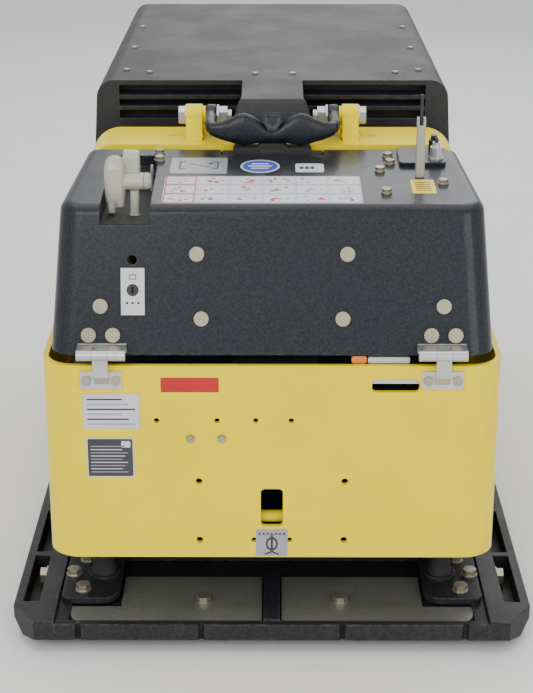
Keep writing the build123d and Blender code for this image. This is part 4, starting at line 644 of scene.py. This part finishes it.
@dataclass
class Labels:
    """Blank-worded stickers: plates with generic signs only.

    Attributes:
        paints: where materials come from.
        sheet_at: middle of the picture sheet on the hood's top.
        sheet_half: its half width and half depth.
        cells: its columns and rows.
        cell_gap: bare edge of a cell.
        signs: marks in a cell.
        plan_at: middle of the plan sticker.
        round_at: middle of the round sticker.
        small_at: middle of the small sticker.
        amber_at: middle of the amber sticker.
        key_at: the key's place on the hood's face, as x and height.
        red_box: left, right, low and high of the red sticker on the guard.
        data_box: the same of the pale data sticker.
        dark_box: the same of the dark sticker.
        lift_box: the same of the sticker at the lashing slot.
        seed: start of the series of random numbers.
    """

    paints: Paintbox
    sheet_at: Pair = (-14.0, -451.0)
    sheet_half: Pair = (141.0, 57.0)
    cells: tuple[int, int] = (6, 3)
    cell_gap: float = 1.2
    signs: int = 5
    plan_at: Pair = (-108.5, -347.0)
    round_at: Pair = (-18.0, -350.0)
    small_at: Pair = (55.0, -357.0)
    amber_at: Pair = (216.0, -438.0)
    key_at: Pair = (-194.5, 542.0)
    red_box: Sides = (-157.0, -75.0, 401.0, 423.0)
    data_box: Sides = (-266.0, -189.0, 346.0, 397.0)
    dark_box: Sides = (-263.0, -199.0, 271.0, 329.0)
    lift_box: Sides = (-23.0, 23.0, 142.0, 186.0)
    seed: int = 7

    def pictograms(self) -> None:
        """Sheet of small picture cells on the hood's top, first column rimmed in red."""
        chance = random.Random(self.seed)
        sheet = Builder("label_pictograms", (Coat.WHITE, Coat.RED, Coat.INK, Coat.SILVER_LABEL))
        seat = top_seat(*self.sheet_at)
        half_u, half_v = self.sheet_half
        columns, rows = self.cells
        sheet.slab(seat, rounded(-half_u, half_u, -half_v, half_v, 4.0), LABEL_LOW, LABEL_HIGH)
        cell_u = 2 * half_u / columns
        cell_v = 2 * half_v / rows
        half = (cell_u / 2 - self.cell_gap, cell_v / 2 - self.cell_gap)
        for column in range(columns):
            for row in range(rows):
                centre = (-half_u + (column + 0.5) * cell_u, -half_v + (row + 0.5) * cell_v)
                self._rim(sheet, seat, centre, half, column == 0)
                for _ in range(self.signs):
                    self._sign(sheet, seat, centre, half, chance)
        sheet.finish(self.paints, "hood", "label_metal")

    def _rim(self, sheet: Builder, seat: Seat, centre: Pair, half: Pair, bold: bool) -> None:
        """Rim of one cell.

        Args:
            sheet: the sticker that it belongs to.
            seat: where the sticker lies.
            centre: the cell's middle.
            half: its half width and half depth.
            bold: wide and red, or else thin and silver.
        """
        a, b = half
        coat, width = (1, 1.6) if bold else (3, 0.5)
        sides = ((-a, a, b - width, b), (-a, a, -b, -b + width), (-a, -a + width, -b, b),
                 (a - width, a, -b, b))
        for left, right, low, high in sides:
            outline = box(centre[0] + left, centre[0] + right, centre[1] + low, centre[1] + high)
            sheet.slab(seat, outline, LABEL_LOW, MARK_HIGH, coat)

    def _sign(self, sheet: Builder, seat: Seat, centre: Pair, half: Pair, chance: random.Random) -> None:
        """One small dot or wedge in a cell.

        Args:
            sheet: the sticker that it belongs to.
            seat: where the sticker lies.
            centre: the cell's middle.
            half: its half width and half depth.
            chance: where its random sizes come from.
        """
        u = centre[0] + chance.uniform(-0.62, 0.62) * half[0]
        v = centre[1] + chance.uniform(-0.5, 0.5) * half[1]
        long = chance.uniform(2.0, 6.0)
        tall = chance.uniform(1.6, 4.6)
        ink = chance.choice((1, 1, 2, 3, 3, 3))
        if chance.random() < 0.4:
            mark = oval(u, v, long * 0.7, long * 0.7, 10)
        else:
            mark = [(u - long, v - tall), (u + long, v - tall), (u, v + tall)]
        sheet.slab(seat, mark, LABEL_LOW, MARK_HIGH, ink)

    def plan(self) -> None:
        """Silver sticker with two brackets and a slanting line."""
        plan = Builder("label_plan", (Coat.SILVER_LABEL, Coat.INK))
        seat = top_seat(*self.plan_at)
        plan.slab(seat, rounded(-42, 42, -36, 36, 3.0), LABEL_LOW, LABEL_HIGH)
        strokes = ((-29, -27, -15, 17), (27, 29, -15, 17), (-29, -20, 15, 17), (20, 29, -15, -13),
                   (-29, -20, -15, -13), (20, 29, 15, 17))
        for stroke in strokes:
            plan.slab(seat, box(*stroke), LABEL_LOW, MARK_HIGH, 1)
        plan.slab(seat, [(-14, 9), (-13, 7), (16, -9), (15, -7)], LABEL_LOW, MARK_HIGH, 1)
        plan.slab(seat, oval(18, 9, 3, 3, 12), LABEL_LOW, MARK_HIGH, 1)
        plan.finish(self.paints, "hood", "label_metal")

    def disc(self) -> None:
        """Round blue sticker with three white bars."""
        ring = Builder("label_round", (Coat.WHITE, Coat.BLUE))
        seat = top_seat(*self.round_at)
        ring.slab(seat, oval(0, 0, 29, 29), LABEL_LOW, LABEL_HIGH)
        ring.slab(seat, oval(0, 0, 26, 26), LABEL_LOW, LABEL_HIGH + 0.15, 1)
        for v, half in ((-10, 13), (0, 18), (10, 13)):
            ring.slab(seat, rounded(-half, half, v - 2.2, v + 2.2, 1.5), LABEL_LOW, MARK_HIGH)
        ring.finish(self.paints, "hood", "label_metal")

    def small(self) -> None:
        """White sticker with three dark dots."""
        small = Builder("label_small", (Coat.WHITE, Coat.INK))
        seat = top_seat(*self.small_at)
        small.slab(seat, rounded(-21, 21, -19, 19, 5.0), LABEL_LOW, LABEL_HIGH)
        for u in (-12, -4, 4):
            small.slab(seat, rounded(u - 2.8, u + 2.8, -6, 5, 2.0, 2), LABEL_LOW, MARK_HIGH, 1)
        small.finish(self.paints, "hood", "label_metal")

    def amber(self) -> None:
        """Amber sticker with five plain bars."""
        amber = Builder("label_amber", (Coat.AMBER, Coat.INK))
        seat = top_seat(*self.amber_at)
        amber.slab(seat, rounded(-17, 17, -29, 29, 2.0), LABEL_LOW, LABEL_HIGH)
        for v in (-16, -8, 0, 8, 16):
            amber.slab(seat, rounded(-11, 11, v - 1.2, v + 1.2, 1.0, 2), LABEL_LOW, MARK_HIGH, 1)
        amber.finish(self.paints, "hood", "label_metal")

    def switch_signs(self) -> None:
        """Small signs above and below the key on its plate."""
        signs = Builder("label_switch", (Coat.INK,))
        seat = face_seat(*self.key_at)
        for stroke in ((-5, 5, 17, 18), (-5, 5, 23, 24), (-5, -4, 17, 24), (4, 5, 17, 24)):
            signs.slab(seat, box(*stroke), 1.6, 2.3)
        for u in (-8, 0, 8):
            signs.slab(seat, oval(u, -16, 1.8, 1.8, 10), 1.6, 2.3)
        signs.finish(self.paints, "hood", "label_metal")

    def red(self) -> None:
        """Plain red sticker on the guard."""
        red = Builder("label_red", (Coat.RED,))
        red.slab(guard_seat(), rounded(*self.red_box, 2.0), LABEL_LOW, LABEL_HIGH)
        red.finish(self.paints, "chassis", "label_metal")

    def data(self) -> None:
        """Pale data sticker with six bars for lines."""
        data = Builder("label_data", (Coat.WHITE, Coat.INK, Coat.SILVER_LABEL))
        data.slab(guard_seat(), rounded(*self.data_box, 2.0), PLATE_LOW, PLATE_HIGH)
        left, right, low, _ = self.data_box
        for row in range(6):
            v = low + 5.0 + 7.6 * row
            bar = box(left + 4.0, right - 5.0 - 9 * (row % 3), v, v + 2.4)
            data.slab(guard_seat(), bar, PLATE_LOW, PLATE_MARK, 1 if row % 2 else 2)
        data.finish(self.paints, "chassis", "label_metal")

    def dark(self) -> None:
        """Dark sticker with pale lines and a white corner."""
        dark = Builder("label_dark", (Coat.INK, Coat.SILVER_LABEL, Coat.WHITE))
        dark.slab(guard_seat(), rounded(*self.dark_box, 2.0), PLATE_LOW, PLATE_HIGH)
        left, right, low, high = self.dark_box
        for row in range(9):
            v = low + 6.0 + 5.0 * row
            bar = box(left + 4.0, right - (7.0, 15.0, 11.0)[row % 3], v, v + 1.3)
            dark.slab(guard_seat(), bar, PLATE_LOW, PLATE_MARK, 1 + row % 2)
        corner = rounded(right - 16.0, right - 3.0, high - 13.0, high - 3.0, 1.5, 2)
        dark.slab(guard_seat(), corner, PLATE_LOW, PLATE_MARK, 2)
        dark.finish(self.paints, "chassis", "label_metal")

    def lift(self) -> None:
        """Silver sticker with a row of teeth over a ring and a bar."""
        pale = Builder("label_lift", (Coat.SILVER_LABEL, Coat.INK))
        seat = guard_seat()
        pale.slab(seat, rounded(*self.lift_box, 3.0), LABEL_LOW, LABEL_HIGH)
        for index in range(7):
            u = -18.0 + 6.0 * index
            pale.slab(seat, [(u - 2.4, 177), (u + 2.4, 177), (u, 181)], LABEL_LOW, MARK_HIGH, 1)
        for half, ink in ((11.0, 1), (7.6, 0)):
            pale.slab(seat, oval(0, 162, half * 0.8, half), LABEL_LOW, MARK_HIGH + (11.0 - half) * 0.05, ink)
        pale.slab(seat, box(-1.6, 1.6, 150, 176), LABEL_LOW, MARK_HIGH + 0.3, 1)
        for side in (-1, 1):
            hook = [(0, 148), (side * 10, 143.8), (side * 11, 145.6), (0, 151)]
            pale.slab(seat, hook[::side], LABEL_LOW, MARK_HIGH, 1)
        pale.finish(self.paints, "chassis", "label_metal")

    def build(self) -> None:
        """Adds every sticker."""
        for sticker in (self.pictograms, self.plan, self.disc, self.small, self.amber, self.switch_signs,
                        self.red, self.data, self.dark, self.lift):
            sticker()


# ---------------------------------------------------------------- castings
@dataclass
class LiftingBail:
    """Forged lifting bail: a two-lobed body, arms and eyes melted together, and its shield.

    Attributes:
        paints: where materials come from.
        pivot: a point of the line it turns on.
        body_y: front line of the body.
        sections: the body's sections: distance from the middle, height, half height.
        arm: each arm's sections: distance along, height, distance out, half width, half height.
        eye: corners of an eye's ring: distance out, radius.
        shield: outline of the shield on the front.
        shield_at: middle of the shield's foot.
        shield_lean: its run back for each unit up.
        voxel: grain of the melted skin in metres.
    """

    paints: Paintbox
    pivot: Point = (0.0, -200.0, 712.0)
    body_y: float = -283.0
    sections: tuple[Point, ...] = ((0.0, 698.0, 10.5), (10.0, 699.5, 12.5), (20.0, 703.0, 17.0),
                                   (30.0, 705.5, 22.0), (42.0, 706.5, 25.2), (52.0, 706.3, 23.6),
                                   (63.0, 705.0, 19.0), (76.0, 704.0, 14.5), (88.0, 705.5, 11.5),
                                   (96.0, 708.0, 9.5))
    arm: tuple[tuple[float, ...], ...] = ((-268.0, 707.0, 92.0, 8.0, 9.0), (-258.0, 709.0, 95.0, 8.5, 9.0),
                                          (-240.0, 711.0, 95.0, 8.0, 9.5), (-218.0, 712.0, 94.8, 8.0, 11.0),
                                          (-212.0, 712.0, 94.6, 7.8, 11.0))
    eye: tuple[Pair, ...] = ((86.6, 9.4), (88.5, 8.4), (100.5, 8.4), (102.4, 9.4), (102.4, 14.6),
                             (100.5, 16.6), (88.5, 16.6), (86.6, 14.6))
    shield: tuple[Pair, ...] = ((-6, 6), (6, 6), (14, 19), (15, 34), (-15, 34), (-14, 19))
    shield_at: Point = (0.0, -284.0, 700.0)
    shield_lean: float = 0.22
    voxel: float = 0.0013

    def forging(self) -> None:
        """Body, arms and eyes."""
        forge = Builder("bail_forging", (Coat.FORGED,))
        whole = self.sections[::-1] + tuple((-x, z, half) for x, z, half in self.sections[1:])
        thick, thin = 10.5, 8.0
        tip = self.sections[-1][0]
        rings = []
        for x, z, half in whole:
            reach = thin if abs(x) > 70 else thick
            centre = Vector((-x, self.body_y + thick + 3.0 * (abs(x) / tip) ** 2, z))
            rings.append(squircle(centre, Y_AXIS, Z_AXIS, reach, half, 2.3))
        forge.loft(rings)
        for side in (-1, 1):
            forge.loft([squircle(Vector((side * x, y, z)), X_AXIS, Z_AXIS, half_x, half_z, 2.6)
                        for y, z, x, half_x, half_z in self.arm])
            forge.spin(list(self.eye), Vector(self.pivot), side)
        blend(forge.finish(self.paints, "bail", "bail_black", "lifting_bail"), self.voxel, 6)

    def badge(self) -> None:
        """Blank shield on the front, with a raised button and bar."""
        pad = Builder("bail_pad", (Coat.FORGED, Coat.INK))
        seat = Seat(Vector(self.shield_at), X_AXIS, Vector((0.0, self.shield_lean, 1.0)).normalized())
        pad.slab(seat, list(self.shield), -14.0, 1.5)
        pad.slab(seat, [(u * 0.78, 20 + (v - 20) * 0.78) for u, v in self.shield], 0.5, 2.0, 1)
        pad.slab(seat, oval(0, 22, 7, 7, 20), 1.0, 3.0)
        pad.slab(seat, [(-11, 27), (11, 27), (9, 30.5), (-9, 30.5)], 1.0, 2.8)
        pad.finish(self.paints, "bail", "bail_black")

    def build(self) -> None:
        """Adds the bail."""
        self.forging()
        self.badge()


@dataclass
class LatchLever:
    """Pale cast latch lever and the post it turns on, in a recess of the hood.

    Attributes:
        paints: where materials come from.
        pivot: a point of the line it turns on.
        grip_x: middle of the grip.
        grip: the grip's sections: height, half width, half depth.
        prongs: each prong's middle and foot.
        tab: the thumb tab's sections: distance along, half depth, half height.
        hub: ends of the hub along the line.
        post_x: middle of the post.
        post: the post's sections: height, half width.
        floor_at: middle of the recess floor.
        recess: half width, front and back of the recess from there.
        voxel: grain of the melted skin in metres.
    """

    paints: Paintbox
    pivot: Point = (0.0, -475.0, 681.0)
    grip_x: float = -221.3
    grip: tuple[Point, ...] = ((649.0, 12.6, 11.0), (655.0, 13.8, 14.0), (668.0, 14.6, 16.5),
                               (690.0, 15.0, 17.5), (702.0, 14.6, 16.5), (710.0, 12.6, 13.5),
                               (715.0, 8.5, 9.0), (717.0, 3.5, 4.0))
    prongs: tuple[Pair, ...] = ((-227.0, 635.0), (-214.5, 644.0))
    tab: tuple[Point, ...] = ((-210.0, 15.0, 21.0), (-191.0, 15.0, 20.0), (-187.5, 13.5, 18.5))
    hub: Pair = (-210.0, -180.2)
    post_x: float = -194.0
    post: tuple[Pair, ...] = ((632.5, 8.5), (636.0, 7.0), (668.2, 6.6))
    floor_at: Point = (-205.0, -432.0, 632.0)
    recess: Point = (35.0, -92.0, 86.0)
    voxel: float = 0.0011

    def casting(self) -> None:
        """Domed grip, two prongs, thumb tab and hub, melted together."""
        cast = Builder("lever_casting", (Coat.PALE_CAST,))
        at = Vector(self.pivot)
        cast.loft([squircle(Vector((self.grip_x, at.y + 1.5, z)), X_AXIS, Y_AXIS, half_x, half_y, 3.6)
                   for z, half_x, half_y in self.grip])
        for x, low in self.prongs:
            cast.loft([squircle(Vector((x, at.y - 2.0, z)), X_AXIS, Y_AXIS, 5.6, half, 3.4)
                       for z, half in ((low, 6.0), (low + 3.0, 9.0), (662.0, 10.5))])
        cast.loft([squircle(at + Vector((x, 18.0, 19.0)), Y_AXIS, Z_AXIS, half_y, half_z, 5.0)
                   for x, half_y, half_z in self.tab])
        cast.rod(at + X_AXIS * self.hub[0], at + X_AXIS * self.hub[1], (12.0, 12.0, 12.0))
        blend(cast.finish(self.paints, "latch", "pale_metal", "latch_lever"), self.voxel, 5)

    def socket(self) -> None:
        """Post, pin head, small pin, and a black rubber sheet on the recess floor and walls that is painted
        shade.
        """
        post = Builder("lever_post", (Coat.PALE_CAST, Coat.RUBBER))
        at = Vector(self.pivot)
        post.rod(at + X_AXIS * -179.8, at + X_AXIS * -170.8, (12.0, 12.0, 11.5, 9.0))
        post.loft([squircle(Vector((self.post_x, at.y, z)), X_AXIS, Y_AXIS, half, 8.0, 3.0)
                   for z, half in self.post])
        # Painted shade: a black rubber sheet on the recess floor and walls stands in for the shadow inside
        # the recess.
        half, front, back = self.recess
        middle = Vector(self.floor_at)
        post.slab(Seat(middle, X_AXIS, Y_AXIS), box(-half + 0.4, half - 0.4, front, back), -0.5, 0.8, 1)
        for side in (-1, 1):
            wall = Seat(middle + X_AXIS * (side * half), Y_AXIS * side, Z_AXIS)
            near, far = (front + 8.0) * side, back * side
            post.slab(wall, [(near, 0.0), (far, 0.0), (far, 26.0), (near, 20.0)][::side], -0.4, 0.7, 1)
        post.rod(Vector((-178.0, -352.0, 631.0)), Vector((-178.0, -352.0, 672.0)), (3.0, 3.0, 3.0, 2.0))
        post.finish(self.paints, "hood", "pale_metal", "lever_ear")

    def build(self) -> None:
        """Adds the lever and its socket."""
        self.casting()
        self.socket()


@dataclass
class Antenna:
    """Antenna sleeve with a forked top, and the silver cone of the cable fitting.

    Attributes:
        paints: where materials come from.
        at: the sleeve's foot.
        neck: height of the fork's root.
        tines: a tine's sections: height, half width.
        cone_at: the fitting's foot.
    """

    paints: Paintbox
    at: Pair = (214.6, -391.0)
    neck: float = 742.0
    tines: tuple[Pair, ...] = ((741.0, 2.1), (748.0, 2.0), (752.6, 1.7))
    cone_at: Pair = (243.0, -329.0)

    def build(self) -> None:
        """Adds the sleeve and the fitting."""
        sleeve = Builder("antenna_tube", (Coat.PALE_CAST,))
        x, y = self.at
        foot = top_seat(x, y).origin.z
        heights = ((foot - 2.0, 6.6), (foot + 4.0, 6.8), (self.neck - 6.0, 6.2), (self.neck, 6.6))
        sleeve.loft([squircle(Vector((x, y, z)), X_AXIS, Y_AXIS, half, half, 4.5) for z, half in heights])
        for side in (-1, 1):
            sleeve.loft([squircle(Vector((x + side * 4.5, y, z)), X_AXIS, Y_AXIS, half, 5.6, 4.0)
                         for z, half in self.tines])
        sleeve.finish(self.paints, "hood", "pale_metal", "antenna_sleeve")
        cone = Builder("antenna_fitting", (Coat.ZINC, Coat.PLASTIC))
        seat = top_seat(*self.cone_at)
        cone.rod(seat.at(0, 0, 5.8), seat.at(0, 0, 9.0), (11.5, 11.0), 0, 6)
        cone.rod(seat.at(0, 0, 8.8), seat.at(0, 0, 24.0), (9.4, 9.0, 8.6))
        cone.rod(seat.at(0, 0, 23.8), seat.at(0, 0, 31.0), (6.8, 5.6, 5.3))
        cone.rod(seat.at(0, 0, 30.8), seat.at(0, 0, 38.0), (3.0, 2.4), 1)
        cone.finish(self.paints, "hood", "zinc")


@dataclass
class BodyTrim:
    """Small fixed pieces between the hoods, the guard and the lifting arch.

    Attributes:
        paints: where materials come from.
        lamp_y: front of the lens and block under the hood's rim.
        lamp_z: their foot.
        lip_y: front of the rubber lip under the bail.
        lip_depth: how far the lip runs back.
        nose_rear: rear end of the tongue's cap.
        nose_top: height of the tongue's top there.
        shade_y: front of the painted shade sheet behind the louvres.
        weld_x: distances out of the seams at the arch's ears.
        weld_y: rear and front end of the seams.
        weld_z: height of the seams.
    """

    paints: Paintbox
    lamp_y: float = -566.0
    lamp_z: float = 441.0
    lip_y: float = -288.0
    lip_depth: float = -24.0
    nose_rear: float = -204.0
    nose_top: float = 738.8
    shade_y: float = -50.0
    weld_x: Pair = (107.6, 133.4)
    weld_y: Pair = (-236.0, -164.0)
    weld_z: float = 686.2

    def lamp(self) -> None:
        """Amber lens and pale block in the gap between the hood and the guard."""
        lamp = Builder("rim_lamp", (Coat.ORANGE, Coat.LABEL))
        seat = Seat(Vector((0.0, self.lamp_y, self.lamp_z)), X_AXIS, Z_AXIS)
        lamp.slab(seat, rounded(112, 133, 0.2, 11.0, 3.0), -14.0, 0.0)
        lamp.slab(seat, rounded(135, 194, 0.2, 9.0, 2.0), -14.0, -1.0, 1)
        lamp.finish(self.paints, "chassis", "black_plastic")

    def rest_lip(self) -> None:
        """Rubber lip under the bail, ahead of the arch's edge; its wider lower band is painted shade in the
        notch.
        """
        pad = Builder("rest_lip", (Coat.RUBBER, Coat.PLASTIC))
        seat = Seat(Vector((0.0, self.lip_y, 0.0)), X_AXIS, Z_AXIS)
        pad.slab(seat, rounded(-60, 60, 640, 679.5, 5.0), self.lip_depth, 1.0)
        # Wider dark band across the notch: painted shade where the notch lies in shadow, beyond the real
        # rubber lip.
        pad.slab(seat, rounded(-77, 77, 640, 672.0, 3.0), self.lip_depth, 0.6)
        pad.slab(seat, [(-26, 679), (26, 679), (17, 686.8), (-17, 686.8)], self.lip_depth, 0.4)
        pad.slab(seat, rounded(-18, 18, 664, 677, 2.5), 0.5, 1.8, 1)
        pad.finish(self.paints, "chassis", "black_rubber")

    def spine_nose(self) -> None:
        """Flared cap on the front end of the centre tongue."""
        cap = Builder("spine_nose", (Coat.TEXTURED,))
        top = self.nose_top
        sections = ((672.0, -235.5, 60.0), (675.0, -238.0, 62.0), (696.0, -238.6, 62.0),
                    (703.0, -236.5, 61.0), (top - 14.0, -226.0, 56.0), (top - 4.0, -218.5, 52.0),
                    (top + 0.8, -212.5, 49.0), (top + 1.2, -209.5, 46.0))
        rings = []
        for z, front, half in sections:
            depth = (self.nose_rear - front) / 2
            rings.append(squircle(Vector((0.0, front + depth, z)), X_AXIS, Y_AXIS, half, depth, 7.0))
        cap.loft(rings)
        cap.finish(self.paints, "chassis", "hood_textured")

    def louvre_painted_shade(self) -> None:
        """Black sheet behind the louvres, over the radiator: painted shade standing in for the shadow seen
        through the slats.
        """
        # Painted shade: this black sheet stands in for the shadow behind the louvres.
        shade = Builder("louvre_painted_shade", (Coat.RUBBER,))
        seat = Seat(Vector((0.0, self.shade_y, 0.0)), X_AXIS, Z_AXIS)
        shade.slab(seat, rounded(-250, 250, 667, 731, 4.0), -2.0, 0.0)
        shade.finish(self.paints, "chassis", "black_plastic")

    def welds(self) -> None:
        """Weld seams at the feet of the arch's two ears."""
        seam = Builder("arch_welds", (Coat.YELLOW,))
        rear, front = self.weld_y
        for side in (-1, 1):
            for x in self.weld_x:
                ends = [Vector((side * x, y, self.weld_z)) for y in (rear, front)]
                seam.rod(*ends, (1.5, 2.2, 2.0, 2.2, 1.5), 0, 12)
        seam.finish(self.paints, "chassis", "yellow_paint")

    def build(self) -> None:
        """Adds every fixed piece."""
        self.lamp()
        self.rest_lip()
        self.spine_nose()
        self.louvre_painted_shade()
        self.welds()


# ---------------------------------------------------------------- studio
@dataclass(frozen=True)
class Lamp:
    """One soft area light.

    Attributes:
        name: its name.
        at: where it stands, in metres.
        size: its width and height.
        power: its power in watts.
    """

    name: str
    at: Point
    size: Pair
    power: float


@dataclass
class Studio:
    """Pale floor, soft lights and the camera.

    Attributes:
        focal_rows: focal length, in units of the image's rows.
        image_height: rows of the image.
        sensor: sensor size in millimetres.
        camera_at: where the camera stands, in metres.
        pitch: how far it looks down, in degrees.
        yaw: how far it is turned left, in degrees.
        middle: the point that the lights aim at.
        lamps: the lights.
        sky: colour of the surroundings.
        sky_strength: their strength.
        floor_size: half side of the floor in metres.
    """

    focal_rows: float = 1700.0
    image_height: float = 693.0
    sensor: float = 36.0
    camera_at: Point = (0.0, -2.7935, 1.3137)
    pitch: float = 20.82
    yaw: float = 0.2
    middle: Point = (0.0, 0.0, 0.4)
    lamps: tuple[Lamp, ...] = (Lamp("overhead", (0.0, 0.2, 3.2), (3.4, 3.4), 50.0),
                               Lamp("front", (-1.3, -3.6, 2.2), (2.2, 1.8), 55.0),
                               Lamp("front_fill", (1.8, -3.2, 1.3), (1.8, 1.8), 28.0),
                               Lamp("rear", (0.6, 3.6, 2.4), (2.6, 1.6), 30.0))
    sky: Colour = (0.95, 0.97, 1.0)
    sky_strength: float = 0.85
    floor_size: float = 14.0

    def camera(self) -> None:
        """Adds the camera."""
        data = bpy.data.cameras.new("camera")
        data.sensor_width = self.sensor
        data.lens = self.focal_rows / self.image_height * self.sensor
        camera = bpy.data.objects.new("camera", data)
        camera.location = self.camera_at
        camera.rotation_euler = (math.radians(90.0 - self.pitch), 0.0, math.radians(self.yaw))
        bpy.context.scene.collection.objects.link(camera)
        bpy.context.scene.camera = camera

    def floor(self) -> None:
        """Adds the floor."""
        mesh = bpy.data.meshes.new("floor")
        shape = bmesh.new()
        bmesh.ops.create_grid(shape, x_segments=1, y_segments=1, size=self.floor_size)
        shape.to_mesh(mesh)
        shape.free()
        g = Graph("floor")
        tone = g.noise(3.0, 3.0).ramp(0.3, 0.7)
        colour = g.mix(tone, (0.86, 0.86, 0.86), (0.84, 0.84, 0.84))
        mesh.materials.append(g.surface({"Base Color": colour, "Roughness": 0.7}))
        floor = bpy.data.objects.new("floor", mesh)
        bpy.context.scene.collection.objects.link(floor)

    def light(self, lamp: Lamp) -> None:
        """Adds one soft area light aimed at the middle."""
        data = bpy.data.lights.new(lamp.name, "AREA")
        data.shape = "RECTANGLE"
        data.size, data.size_y = lamp.size
        data.energy = lamp.power
        light = bpy.data.objects.new(lamp.name, data)
        light.location = lamp.at
        aim = Vector(self.middle) - Vector(lamp.at)
        light.rotation_euler = aim.to_track_quat("-Z", "Y").to_euler()
        bpy.context.scene.collection.objects.link(light)

    def surroundings(self) -> None:
        """Adds the pale surroundings."""
        world = bpy.data.worlds.new("surroundings")
        world.use_nodes = True
        background = world.node_tree.nodes["Background"]
        background.inputs["Color"].default_value = (*self.sky, 1.0)
        background.inputs["Strength"].default_value = self.sky_strength
        bpy.context.scene.world = world

    def build(self) -> None:
        """Adds everything of the studio."""
        self.camera()
        self.floor()
        for lamp in self.lamps:
            self.light(lamp)
        self.surroundings()


def main() -> None:
    """Builds the looks of the machine."""
    logging.basicConfig(level=logging.INFO)
    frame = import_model()
    paints = Paintbox()
    paints.dress_nodes(frame["nodes"])
    for part in (Labels(paints), LiftingBail(paints), LatchLever(paints), Antenna(paints), BodyTrim(paints)):
        part.build()
    Studio().build()


if __name__ == "__main__":
    main()
